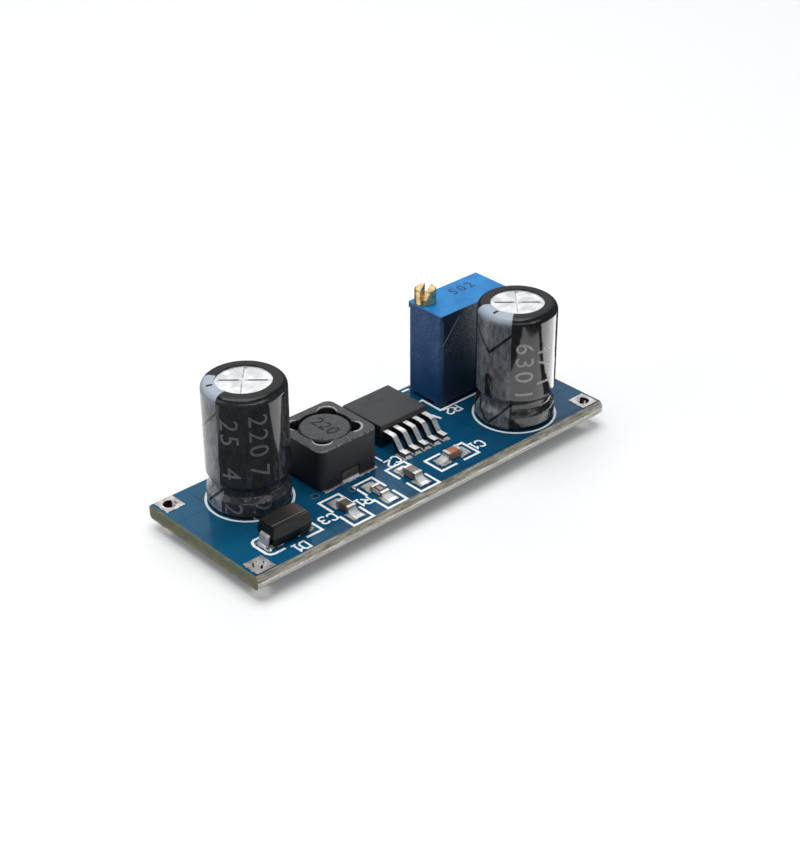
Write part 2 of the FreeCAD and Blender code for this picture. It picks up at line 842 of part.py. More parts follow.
def worm_thread():
    """Right-hand thread about the Z axis, with a crest on the X side level with the rotor's middle."""
    root = thread_pitch_width / 2 + tooth_dedendum * flank
    crest = thread_pitch_width / 2 - tooth_addendum * flank
    reach = worm_lead * (math.ceil(worm_turns / 2) + 1)
    start = rotor_z - reach
    helix = Part.makeHelix(worm_lead, 2 * reach, worm_pitch_radius)
    helix.translate(FreeCAD.Vector(0, 0, start))
    inner = worm_root_radius - seat_gap
    tooth = section((inner, start - root), (screw_neck_radius, start - crest),
                    (screw_neck_radius, start + crest), (inner, start + root))
    thread = Part.Wire(helix.Edges).makePipeShell([tooth.OuterWire], True, True)
    half = worm_lead * worm_turns / 2
    trimmed = thread.common(rod(0, 0, 2 * screw_neck_radius, rotor_z - half, rotor_z + half))
    return trimmed.Solids[0]


def trimmer_screw():
    """Slotted brass screw: head, neck with a seal groove and a clip groove, worm and tip."""
    neck = screw_neck_radius
    head_foot = trimmer_top + running_gap
    head_top = head_foot + screw_head_height
    seal_half = seal_section_radius + seat_gap
    clip_top = retainer_top + running_gap
    clip_foot = retainer_foot - running_gap
    relief_top = rotor_z + worm_relief + running_gap
    shoulder = trimmer_base_top + running_gap
    edge = screw_head_bevel
    face = section((0, trimmer_base_top - screw_tip_depth),
                   (screw_tip_radius, trimmer_base_top - screw_tip_depth),
                   (screw_tip_radius, shoulder), (worm_root_radius, shoulder),
                   (worm_root_radius, relief_top), (neck, relief_top), (neck, clip_foot),
                   (retainer_groove_radius, clip_foot), (retainer_groove_radius, clip_top),
                   (neck, clip_top), (neck, seal_z - seal_half),
                   (seal_groove_radius, seal_z - seal_half), (seal_groove_radius, seal_z + seal_half),
                   (neck, seal_z + seal_half), (neck, head_foot), (screw_head_radius, head_foot),
                   (screw_head_radius, head_top - edge), (screw_head_radius - edge, head_top),
                   (0, head_top))
    screw = turned(face, 0, 0).fuse(worm_thread())
    slot = slab(0, 0, 4 * screw_head_radius, screw_slot_width, head_top - screw_slot_depth, 2 * head_top)
    screw = screw.cut(placed(slot, screw_slot_angle, 0, 0))
    return placed(screw, 0, screw_x, screw_y)


def seal_ring():
    """Ring in the groove of the neck."""
    half = seal_section_radius
    inner = rod(screw_x, screw_y, seal_groove_radius + seat_gap, seal_z - half, seal_z + half)
    return rod(screw_x, screw_y, screw_bore_radius - seat_gap, seal_z - half, seal_z + half).cut(inner)


def retaining_clip():
    """U-shaped plate under the roof that keeps the screw in by its groove."""
    plate = slab(screw_x, screw_y, clip_plate_side, clip_plate_side, retainer_foot, retainer_top)
    half = retainer_groove_radius + running_gap
    mouth = box(screw_x, screw_x + clip_plate_side, screw_y - half, screw_y + half,
                0, 2 * trimmer_top)
    return plate.cut([rod(screw_x, screw_y, half, 0, 2 * trimmer_top), mouth])


def rotor_outline():
    """Toothed wheel outline in the XZ plane with a gap facing the worm."""
    points = []
    pitch = 2 * math.pi / rotor_teeth
    half_root = (tooth_pitch_width / 2 + tooth_dedendum * flank) / rotor_root_radius
    half_tip = (tooth_pitch_width / 2 - tooth_addendum * flank) / rotor_tip_radius
    for tooth in range(rotor_teeth):
        middle = math.pi + (tooth + 0.5) * pitch
        for turn, radius in ((-half_root, rotor_root_radius), (-half_tip, rotor_tip_radius),
                             (half_tip, rotor_tip_radius), (half_root, rotor_root_radius)):
            points.append(FreeCAD.Vector(radius * math.cos(middle + turn), 0,
                                         radius * math.sin(middle + turn)))
    return Part.Face(Part.makePolygon(points + points[:1]))


def trimmer_rotor():
    """Toothed wheel with a drum and a small boss in front, bored behind for the housing's post."""
    wheel = rotor_outline().extrude(FreeCAD.Vector(0, rotor_width, 0))
    wheel.translate(FreeCAD.Vector(rotor_x, rotor_back - rotor_width, rotor_z))
    drum = lying_rod(rotor_x, rotor_z, rotor_drum_radius, drum_front, screw_y)
    boss = lying_rod(rotor_x, rotor_z, wiper_boss_radius, drum_front - 2 * wiper_thickness, screw_y)
    bore = lying_rod(rotor_x, rotor_z, rotor_post_radius + running_gap,
                     rotor_back - rotor_bore_depth, rotor_back + rotor_width)
    return wheel.fuse([drum, boss]).cut(bore).removeSplitter()


def wiper_arm(reach, angle):
    """Spring arm from the drum's face to a ring on the element, at an angle about the rotor."""
    near = wiper_thickness / 2
    far = drum_front - element_back - track_thickness - seat_gap - near
    line = [(0, near), (reach / 2, near), (reach - near, far), (reach + 2 * near, far)]
    arm = strip(line, wiper_thickness, near, wiper_arm_width)
    arm.rotate(origin, x_axis, 90)
    arm.rotate(origin, y_axis, angle)
    arm.translate(FreeCAD.Vector(rotor_x, drum_front, rotor_z))
    return arm


def trimmer_wiper():
    """Sprung contact on the rotor: one arm on the track, the other on the collector ring."""
    hub = lying_rod(rotor_x, rotor_z, 2 * wiper_boss_radius, drum_front - wiper_thickness, drum_front)
    wiper = hub.fuse([wiper_arm(track_radius, wiper_angle), wiper_arm(collector_radius, wiper_angle + 180)])
    hole = lying_rod(rotor_x, rotor_z, wiper_boss_radius + seat_gap, trimmer_front, trimmer_back)
    return wiper.cut(hole).removeSplitter()


def film_ring(radius, gap_angle):
    """Printed ring on the element's back face, open at the bottom by an angle."""
    inner = radius - track_width / 2
    corners = [FreeCAD.Vector(inner, 0, 0), FreeCAD.Vector(inner + track_width, 0, 0),
               FreeCAD.Vector(inner + track_width, track_thickness, 0),
               FreeCAD.Vector(inner, track_thickness, 0)]
    face = Part.Face(Part.makePolygon(corners + corners[:1]))
    ring = face.revolve(origin, y_axis, 360 - gap_angle)
    ring.rotate(origin, y_axis, 90 + gap_angle / 2)
    ring.translate(FreeCAD.Vector(rotor_x, element_back, rotor_z))
    return ring


def film(x0, x1, z0, z1):
    """Printed patch on the element's back face."""
    return box(min(x0, x1), max(x0, x1), element_back, element_back + track_thickness, z0, z1)


def trimmer_conductors(track):
    """Collector ring down to the middle pin, and each end of the track down to an outer pin."""
    half = conductor_width / 2
    foot = trimmer_base_top + element_margin
    (left, _), (middle, _), (right, _) = trimmer_pins
    ring = lying_rod(rotor_x, rotor_z, collector_radius + track_width / 2,
                     element_back, element_back + track_thickness)
    ring = ring.cut(lying_rod(rotor_x, rotor_z, collector_radius - track_width / 2,
                              trimmer_front, trimmer_back))
    stem = film(rotor_x - half, rotor_x + half, foot, rotor_z - collector_radius)
    pad = film(middle - half, rotor_x + half, foot, foot + conductor_width)
    conductors = [ring.fuse([stem, pad]).removeSplitter()]
    end_turn = math.radians(track_gap_angle / 2)
    end_z = rotor_z - track_radius * math.cos(end_turn)
    for x, side in ((left, -1), (right, 1)):
        end_x = rotor_x + side * track_radius * math.sin(end_turn)
        run = film(x, end_x, end_z - half, end_z + half)
        drop = film(x - half, x + half, foot, end_z + half)
        conductors.append(run.fuse(drop).cut(track).removeSplitter())
    return together(conductors)


def write_trimmer():
    element = trimmer_inside(trimmer_front + trimmer_wall, element_back, trimmer_base_top,
                             roof_underside - element_margin, element_margin)
    track = film_ring(track_radius, track_gap_angle)
    save("trimmer_housing", trimmer_housing())
    save("trimmer_base", trimmer_base())
    save("trimmer_screw", trimmer_screw())
    save("trimmer_seal_ring", seal_ring())
    save("trimmer_retaining_clip", retaining_clip())
    save("trimmer_rotor", trimmer_rotor())
    save("trimmer_wiper", trimmer_wiper())
    save("trimmer_element", element)
    save("trimmer_track", track)
    save("trimmer_conductors", trimmer_conductors(track))
    for name, (x, y) in zip(("left", "middle", "right"), trimmer_pins):
        save("trimmer_" + name + "_pin", rod(x, y, trimmer_pin_radius, board_bottom,
                                             trimmer_base_top + trimmer_pin_rise))


os.makedirs("parts", exist_ok=True)
write_board()
save("lead_solder", together([lead_joint(x, y) for x, y, radius in wired]))
capacitor("output_capacitor", output_can_x, output_can_y, output_can_diameter, output_can_height,
          output_leads)
capacitor("input_capacitor", input_can_x, input_can_y, input_can_diameter, input_can_height,
          input_leads)
inductor()
regulator()
diode()
write_chips()
save("chip_lands", chip_lands())
save("chip_solder", chip_solder())
save("regulator_lands", regulator_lands())
save("regulator_solder", regulator_solder())
save("inductor_lands", together([slab(x, y, inductor_land_width, inductor_land_length, board_top, land_top)
                                 for x, y in inductor_land_places()]))
save("inductor_solder", inductor_solder())
save("diode_lands", together([slab(x, y, diode_land_length, diode_land_width, board_top, land_top)
                              for x, y in diode_land_places()]))
save("diode_solder", diode_solder())
write_trimmer()
print("board", round(board_length, 3), "by", round(board_width, 3), "mm")
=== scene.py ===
import math

import bmesh
import bpy
import numpy as np
from mathutils import Matrix, Vector


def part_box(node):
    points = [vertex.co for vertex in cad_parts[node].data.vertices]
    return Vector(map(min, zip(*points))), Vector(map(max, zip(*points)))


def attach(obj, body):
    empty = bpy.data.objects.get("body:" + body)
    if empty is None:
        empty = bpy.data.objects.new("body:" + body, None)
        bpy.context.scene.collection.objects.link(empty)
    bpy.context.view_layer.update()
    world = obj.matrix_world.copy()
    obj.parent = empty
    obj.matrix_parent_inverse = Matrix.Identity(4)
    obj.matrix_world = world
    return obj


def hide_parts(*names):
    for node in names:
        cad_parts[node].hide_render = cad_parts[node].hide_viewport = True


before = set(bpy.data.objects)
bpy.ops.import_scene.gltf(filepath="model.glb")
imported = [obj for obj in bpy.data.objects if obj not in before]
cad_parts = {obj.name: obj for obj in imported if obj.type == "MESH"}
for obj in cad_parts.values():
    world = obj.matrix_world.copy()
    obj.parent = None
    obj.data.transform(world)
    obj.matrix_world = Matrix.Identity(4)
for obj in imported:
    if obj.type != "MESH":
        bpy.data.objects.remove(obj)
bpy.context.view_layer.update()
mm = 0.001                    # one millimetre in scene units

# Shader writing

def paint(red, green, blue):  # a screen colour of 0 to 255 made linear
    screen = np.array((red, green, blue), float) / 255
    linear = np.where(screen <= 0.04045, screen / 12.92, ((screen + 0.055) / 1.055) ** 2.4)
    return (*(float(part) for part in linear), 1.0)


class Wire:  # one output; sums on it add Math nodes
    def __init__(self, surface, socket):
        self.surface, self.socket = surface, socket

    def sum(self, operation, *values):
        return self.surface.node("ShaderNodeMath", {"operation": operation}, dict(enumerate(values)))

    def __add__(self, other):
        return self.sum("ADD", self, other)

    def __radd__(self, other):
        return self.sum("ADD", other, self)

    def __sub__(self, other):
        return self.sum("SUBTRACT", self, other)

    def __rsub__(self, other):
        return self.sum("SUBTRACT", other, self)

    def __mul__(self, other):
        return self.sum("MULTIPLY", self, other)

    def __rmul__(self, other):
        return self.sum("MULTIPLY", other, self)

    def __truediv__(self, other):
        return self.sum("DIVIDE", self, other)

    def __pow__(self, other):
        return self.sum("POWER", self, other)

    def __abs__(self):
        return self.sum("ABSOLUTE", self)

    def __or__(self, other):
        return self.sum("MAXIMUM", self, other)


class Surface:  # one material or the studio round it, its patterns measured in millimetres
    def __init__(self, name, studio=False, **fixed):
        self.material = (bpy.data.worlds if studio else bpy.data.materials).new(name)
        self.material.use_nodes = True
        self.tree = self.material.node_tree
        self.shader = next(item for item in self.tree.nodes if item.type in ("BSDF_PRINCIPLED", "BACKGROUND"))
        for socket, value in fixed.items():
            self.shader.inputs[socket.replace("_", " ")].default_value = value
        coordinates = self.node("ShaderNodeTexCoord", out="Generated" if studio else "Object")
        self.place = self.node("ShaderNodeVectorMath", {"operation": "SCALE"},
                               {0: coordinates, "Scale": 1.0 if studio else 1 / mm})
        self.x, self.y, self.z = self.axes(self.place)

    def axes(self, vector):
        split = self.node("ShaderNodeSeparateXYZ", {}, {0: vector}).socket.node
        return [Wire(self, split.outputs[index]) for index in range(3)]

    def node(self, kind, settings=None, feeds=None, out=0):
        item = self.tree.nodes.new(kind)
        for setting, value in (settings or {}).items():
            setattr(item, setting, value)
        for socket, value in (feeds or {}).items():
            self.feed(item.inputs[socket], value)
        return Wire(self, item.outputs[out])

    def feed(self, socket, value):
        if isinstance(value, Wire):
            self.tree.links.new(value.socket, socket)
        else:
            socket.default_value = value

    def noise(self, scale, detail=3.0, rough=0.55, stretch=(1, 1, 1), twist=0.0):
        where = self.node("ShaderNodeVectorMath", {"operation": "MULTIPLY"}, {0: self.place, 1: stretch})
        return self.node("ShaderNodeTexNoise", {}, {"Vector": where, "Scale": scale, "Detail": detail,
                                                    "Roughness": rough, "Distortion": twist})

    def rise(self, value, low, high, start=0.0, end=1.0):  # smooth step from start to end
        return self.node("ShaderNodeMapRange", {"interpolation_type": "SMOOTHSTEP"},
                         {0: value, 1: low, 2: high, 3: start, 4: end})

    def band(self, value, half, soft):  # 1 near zero, fading out past half
        return self.rise(abs(value), half, half + soft, 1.0, 0.0)

    def blend(self, share, low, high):  # wires or screen colours mixed by a share of 0 to 1
        low, high = (tone if isinstance(tone, Wire) else paint(*tone) for tone in (low, high))
        return self.node("ShaderNodeMix", {"data_type": "RGBA"}, {0: share, 6: low, 7: high}, 2)

    def relief(self, height):  # height in millimetres
        return self.node("ShaderNodeBump", {}, {"Height": height, "Distance": mm, "Strength": 1.0})

    def facing(self):  # x, y and z of the way the surface faces
        return self.axes(self.node("ShaderNodeNewGeometry", out="Normal"))

    def wear(self, **sockets):
        for socket, value in sockets.items():
            self.feed(self.shader.inputs[socket.replace("_", " ")], value)
        return self


# Camera and light

view = {
    "position": (-100.01, -111.31, 95.585),   # mm
    "target": (4.15, 2.437, 2.7),
    "roll": -0.267,                           # degrees
    "lens": 76.179,
    "sensor": 36.0,
}


def placeCamera():
    position, target = Vector(view["position"]) * mm, Vector(view["target"]) * mm
    back = (position - target).normalized()
    right = Vector((0, 0, 1)).cross(back).normalized()
    up = back.cross(right)
    turn = math.radians(view["roll"])
    leaning = right * math.cos(turn) + up * math.sin(turn)
    rising = up * math.cos(turn) - right * math.sin(turn)
    lens = bpy.data.cameras.new("photoCamera")
    lens.sensor_fit = "VERTICAL"
    lens.sensor_height = view["sensor"]
    lens.lens = view["lens"]
    lens.clip_start, lens.clip_end = 0.01, 20.0
    camera = bpy.data.objects.new("photoCamera", lens)
    bpy.context.scene.collection.objects.link(camera)
    camera.matrix_world = Matrix.Translation(position) @ Matrix((leaning, rising, back)).transposed().to_4x4()
    bpy.context.scene.camera = camera


lights = {  # at, to and size in mm; a card shows in reflections alone
    "overhead": {"at": (-20, 40, 420), "size": (380, 380), "power": 1.5, "to": (0, 0, 0)},
    "back": {"at": (250, 275, 225), "size": (330, 190), "power": 0.24, "to": (0, 0, 3)},
    "front": {"at": (60, -330, 190), "size": (160, 120), "power": 0.12, "to": (0, 0, 4)},
    "left": {"at": (-330, 120, 160), "size": (220, 160), "power": 0.16, "to": (0, 0, 4)},
    "frontCard": {"at": (9.5, -21.5, 0.5), "size": (25, 25), "power": 0.0059, "to": (9.5, -21.5, 9),
                  "card": True},
    "rightCard": {"at": (41, -22.5, 0.5), "size": (30, 36), "power": 0.019, "to": (41, -22.5, 9),
                  "card": True},
    "rimCard": {"at": (-127, -272, 121), "size": (400, 25), "power": 0.26, "to": (0, 0, 10), "card": True},
    "backCard": {"at": (-24, 24, 0.5), "size": (44, 30), "power": 0.0056, "to": (-24, 24, 9), "card": True},
}
studioTones = {"sky": (0.86, 0.91, 0.97, 1.0), "below": 0.1, "above": 0.36}


def placeLights():
    for name, part in lights.items():
        lamp = bpy.data.lights.new(name, "AREA")
        lamp.shape = "RECTANGLE"
        lamp.size, lamp.size_y = part["size"][0] * mm, part["size"][1] * mm
        lamp.energy = part["power"]
        holder = bpy.data.objects.new(name, lamp)
        bpy.context.scene.collection.objects.link(holder)
        away = Vector(part["at"]) - Vector(part["to"])
        holder.matrix_world = (Matrix.Translation(Vector(part["at"]) * mm)
                               @ away.to_track_quat("Z", "Y").to_matrix().to_4x4())
        holder.visible_camera = False
        holder.visible_diffuse = not part.get("card", False)
    studio = Surface("studio", studio=True, Color=studioTones["sky"])
    studio.wear(Strength=studio.rise(studio.z, -0.1, 0.8, studioTones["below"], studioTones["above"]))
    bpy.context.scene.world = studio.material
    bpy.context.scene.view_settings.view_transform = "Standard"


placeCamera()
placeLights()
print("camera and lights placed")


def dress(surface, *names):
    for name in names:
        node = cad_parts[name]
        for slot in node.material_slots:
            slot.material = surface.material


# Finishes

boardRidge = 0.55             # mm that the snapped long sides stand out
boardTones = {"deep": (4, 47, 76), "light": (16, 83, 117), "lane": (20, 94, 130),
              "green": (122, 138, 118), "amber": (166, 150, 112), "core": (112, 110, 96),
              "brown": (110, 105, 93), "straw": (172, 167, 154), "grey": (188, 183, 170),
              "chalk": (252, 251, 247)}


def boardFinish():
    low, high = (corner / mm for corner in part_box("board"))
    halfLength, halfWidth = high.x, high.y - boardRidge
    board = Surface("boardFinish", IOR=1.33, Specular_Tint=(0.4, 0.75, 1.0, 1.0), Specular_IOR_Level=0.35,
                    Emission_Strength=0.25)
    cloud = board.rise(board.noise(0.22, 2.0), 0.35, 0.65, 0.0, 0.45)
    paintedLeftLight = board.rise(board.x, -19.0, -5.0, 0.55, 0.0)  # painted light: the left end drawn lighter, as more light reaches it
    blue = board.blend(cloud + paintedLeftLight, boardTones["deep"], boardTones["light"])
    # copper under the mask: soft-edged lanes along the board, a shade lighter than the gaps between them
    lanes = board.node("ShaderNodeTexBrick", {"offset": 0.37, "squash": 1.0},
                       {"Vector": board.place, "Color1": (1, 1, 1, 1), "Color2": (0.82, 0.82, 0.82, 1),
                        "Mortar": (0, 0, 0, 1), "Scale": 1.0, "Mortar Size": 0.09, "Mortar Smooth": 0.6,
                        "Brick Width": 9.3, "Row Height": 3.7})
    copper = board.rise(lanes, 0.0, 0.5, 0.0, 1.0)
    blue = board.blend(copper * 0.3, blue, boardTones["lane"])
    # side of the panel: fibres run along the cut, brown in the score and chalky where it was snapped
    fibre = board.noise(1.0, 5.0, 0.7, (0.5, 3.0, 6.0))
    grit = board.noise(5.5, 4.0, 0.65)
    middle = (low.z + high.z) / 2
    snapped = board.rise(board.z + grit * 0.3 - 0.15, middle + 0.12, middle + 0.3, 1.0, 0.0)
    brown = board.blend(board.rise(fibre, 0.35, 0.65), boardTones["brown"], boardTones["straw"])
    rough = board.rise(fibre * 0.7 + grit * 0.3, 0.36, 0.6)
    chalk = board.blend(rough, boardTones["grey"], boardTones["chalk"])
    side = board.blend(snapped, brown, chalk)
    layers = board.rise(board.noise(1.1, 5.0, 0.7, (1, 0.7, 1.5)), 0.42, 0.62)
    end = board.blend(layers, boardTones["green"], boardTones["amber"])
    end = board.blend(board.rise(abs(board.z - middle), 0.1, 0.75, 0.5, 0.0), end, boardTones["core"])
    onSide = board.rise(abs(board.y), halfWidth - 0.01, halfWidth + 0.01)
    onEnd = board.rise(abs(board.x), halfLength - 0.03, halfLength - 0.01)
    colour = board.blend(onEnd, board.blend(onSide, blue, side), end)
    cut = onSide | onEnd
    # relief: orange peel in the mask, a step at each lane, coarse fibres on the cut
    peel = board.noise(0.9, 2.0) * 0.012 + copper * 0.012
    paintedGlow = board.blend(cut, (0, 0, 0), colour)  # painted light: the cut sides glow in their own colour
    board.wear(Base_Color=colour, Emission_Color=paintedGlow, Roughness=cut * 0.55 + board.noise(2.5) * 0.1 + 0.14,
               Normal=board.relief(peel * (1 - cut) + (fibre * 0.22 + grit * 0.12) * cut))
    return board


def metalFinish(name, tone, dull, roughLow, roughHigh, lumps=0.01, scratch=0.0, spots=0.0, sheen=1.0):
    # a bright tone under a patchy dull film, rougher where a noise is high, scratched or spotted if asked
    metal = Surface(name, Metallic=sheen)  # less sheen stands for a frosted skin of oxide
    cloud = metal.noise(1.3, 4.0, 0.6)
    film = metal.rise(cloud, 0.4, 0.68)
    colour = metal.blend(film, tone, dull)
    height = metal.noise(1.1, 2.0) * lumps
    rough = metal.rise(metal.noise(2.6, 4.0, 0.65), 0.3, 0.7, roughLow, roughHigh)
    if scratch:  # thin lines where a stretched noise crosses its middle
        line = abs(metal.noise(1.4, 2.0, 0.5, (2.2, 0.35, 1.0), 0.6) - 0.5)
        groove = metal.rise(line, 0.0, 0.02, 1.0, 0.0)
        height = height - groove * scratch
        colour = metal.blend(groove * 0.6, colour, (96, 92, 90))
    if spots:
        pit = metal.rise(metal.noise(3.6, 3.0, 0.6), 0.6, 0.68)
        colour = metal.blend(pit * spots, colour, (120, 112, 106))
    return metal.wear(Base_Color=colour, Roughness=rough, Normal=metal.relief(height))


ventTurns = {"first": -42.5, "mark": 2.28}
canTones = {"shade": (206, 208, 209), "light": (240, 241, 241), "groove": (70, 70, 71),
            "paintedGlint": (254, 254, 254), "spot": (60, 60, 62)}


def canFinish(name):
    # bright drawn metal, two stamped grooves crossing on its top, each drawn in colour alone: a flank of
    # painted shade beside a flank of painted highlight
    low, high = (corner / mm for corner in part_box(name + "_can"))
    can = Surface(name + "_metal", Metallic=1.0)
    grain = can.noise(9.0, 3.0, 0.6, (1, 0.25, 1))
    smear = can.noise(0.8, 3.0)
    colour = can.blend(can.rise(smear, 0.35, 0.65), canTones["shade"], canTones["light"])
    dx, dy = can.x - (low.x + high.x) / 2, can.y - (low.y + high.y) / 2
    for turn, share in ((ventTurns["first"], 1.0), (ventTurns["first"] + 90, 0.55)):
        cosine, sine = math.cos(math.radians(turn)), math.sin(math.radians(turn))
        across, along = dy * cosine - dx * sine, abs(dx * cosine + dy * sine)
        reach = can.rise(along, 0.35, 0.5) * can.rise(along, 2.1, 2.3, 1.0, 0.0)
        # painted shade on one flank of each groove, painted highlight on the other
        colour = can.blend(can.band(across - 0.1, 0.03, 0.06) * reach * share * 0.8, colour,
                           canTones["groove"])
        colour = can.blend(can.band(across + 0.04, 0.04, 0.08) * reach * share * 0.8, colour,
                           canTones["paintedGlint"])
    turn = math.radians(ventTurns["first"] + 90)
    spotX, spotY = dx - ventTurns["mark"] * math.cos(turn), dy - ventTurns["mark"] * math.sin(turn)
    spot = (spotX ** 2 + spotY ** 2) ** 0.5
    colour = can.blend(can.band(spot - 0.15, 0.02, 0.05) * 0.7, colour, canTones["spot"])
    return can.wear(Base_Color=colour, Roughness=can.rise(grain, 0.3, 0.7, 0.32, 0.5),
                    Normal=can.relief(grain * 0.004 + smear * 0.02))


ferriteTones = {"body": (21, 21, 23), "grain": (31, 31, 33), "top": (54, 55, 57), "speck": (104, 105, 107),
                "chip": (150, 151, 153)}


def ferriteFinish():
    # pressed and fired powder with bright grains; painted light: the top paler and the walls nearly black, as
    # light falls from above
    ferrite = Surface("ferriteFinish", IOR=1.5)
    fine = ferrite.noise(11.0, 4.0, 0.75)
    grit = ferrite.noise(4.2, 4.0, 0.8)
    cloud = ferrite.noise(0.7, 3.0)
    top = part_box("inductor_shield")[1].z / mm
    # painted light: a paler tone on the top, a nearly black one on the walls
    face = ferrite.rise(ferrite.z, top - 0.16, top - 0.08)
    wall = ferrite.blend(ferrite.rise(fine, 0.42, 0.66), ferriteTones["body"], ferriteTones["grain"])
    upper = ferrite.blend(ferrite.rise(grit * 0.6 + fine * 0.4, 0.44, 0.66), ferriteTones["top"],
                          ferriteTones["speck"])
    # a broken pale line along the bevel between the two, partly a chipped edge, partly a painted highlight
    bevel = ferrite.band(ferrite.facing()[2] - 0.7, 0.12, 0.12)
    chipAndHighlight = bevel * ferrite.rise(grit, 0.4, 0.56) * face
    colour = ferrite.blend(chipAndHighlight * 0.6, ferrite.blend(face, wall, upper), ferriteTones["chip"])
    return ferrite.wear(Base_Color=colour, Roughness=fine * 0.3 + cloud * 0.15 + 0.3,
                        Normal=ferrite.relief(fine * 0.04 + grit * face * 0.05))


def mouldedFinish(name, litTopTone, shadedSideTone, topZ, roughTop, roughSide, ring=None, groove=None):
    # filled resin: matt grained top, smoother flanks; painted light: the top paler and the flanks darker, as
    # light falls from above
    resin = Surface(name, IOR=1.5 if groove is None else 1.3)
    fine = resin.noise(16.0, 3.0, 0.7)
    flow = resin.noise(0.9, 3.0, 0.5, (1, 2.2, 1))
    face = resin.rise(resin.z, topZ - 0.06, topZ - 0.015)
    # painted light: a paler tone on the top, a darker one on the flanks
    colour = resin.blend(face, shadedSideTone, litTopTone)
    colour = resin.blend(resin.rise(fine * 0.7 + flow * 0.3, 0.3, 0.75, 0.0, 0.14) * (face * 0.8 + 0.2),
                         colour, (120, 120, 122))
    height = fine * 0.012
    if ring is not None:  # round mark of an ejector pin: a shallow sunk disc with a raised rim
        x, y, radius = ring
        away = ((resin.x - x) ** 2 + (resin.y - y) ** 2) ** 0.5
        inside = resin.rise(away, radius - 0.06, radius + 0.06, 1.0, 0.0)
        rim = resin.rise(abs(away - radius), 0.0, 0.1, 1.0, 0.0)
        height = height - inside * 0.05
        colour = resin.blend(rim * 0.5 * face, colour, (28, 28, 29))
    if groove is not None:  # along the front edge of the top a pale line of painted highlight, then a hollow darkened with painted shade; the upper band of the front face drawn lighter; rust towards one end
        y, width, rustX = groove
        upper = (resin.rise(resin.z, topZ - 1.14, topZ - 1.06)
                 * resin.rise(resin.y, y - 0.3, y - 0.2, 1.0, 0.0))
        colour = resin.blend(upper * (1 - face) * 0.85, colour, (80, 79, 80))
        colour = resin.blend(resin.rise(resin.x, rustX, rustX + 1.6) * face * 0.7, colour, (84, 66, 58))
        # painted highlight: a pale line on the top behind the groove
        colour = resin.blend(resin.band(resin.y - y - width * 1.6, width * 0.3, width) * face * 0.6, colour,
                             (112, 112, 112))
        line = resin.band(resin.y - y, width * 0.5, width * 0.5)
        height = height - line * 0.06
        # painted shade: the groove drawn dark
        colour = resin.blend(line * face * 0.9, colour, (8, 8, 9))
    rough = resin.rise(face + fine * 0.3, 0.2, 1.0, roughSide, roughTop)
    return resin.wear(Base_Color=colour, Roughness=rough, Normal=resin.relief(height))


def ceramicFinish(name, tone, dark):
    # fired powder: two tones mixed by coarse clouds and fine grain
    ceramic = Surface(name, IOR=1.5)
    fine = ceramic.noise(8.0, 4.0, 0.7)
    cloud = ceramic.noise(2.0, 2.0)
    colour = ceramic.blend(ceramic.rise(fine * 0.5 + cloud * 0.5, 0.36, 0.66), dark, tone)
    return ceramic.wear(Base_Color=colour, Roughness=fine * 0.2 + 0.4, Normal=ceramic.relief(fine * 0.012))


def plasticFinish(name, tone, shade, rough, grain, **fixed):  # speckled between two tones
    plastic = Surface(name, **fixed)
    fine = plastic.noise(4.0, 5.0, 0.75)
    cloud = plastic.noise(0.5, 3.0)
    colour = plastic.blend(plastic.rise(fine * 0.6 + cloud * 0.4, 0.36, 0.64), shade, tone)
    return plastic.wear(Base_Color=colour, Roughness=fine * 0.16 + rough, Normal=plastic.relief(fine * grain))


trimmerLook = {
    "line": ((9.88, 9.92), (11.89, 12.29)), "lineHalf": 0.05,   # x and z of the two ends of a thin pale line
    "shade": (4, 114, 186), "light": (12, 144, 212), "lip": (130, 178, 220),
    "foot": (22, 50, 90), "dull": (48, 76, 126), "pale": (96, 116, 150),
    "frontShade": (18, 23, 32), "smear": (36, 42, 52), "film": (122, 129, 136), "scratch": (176, 182, 186),
}


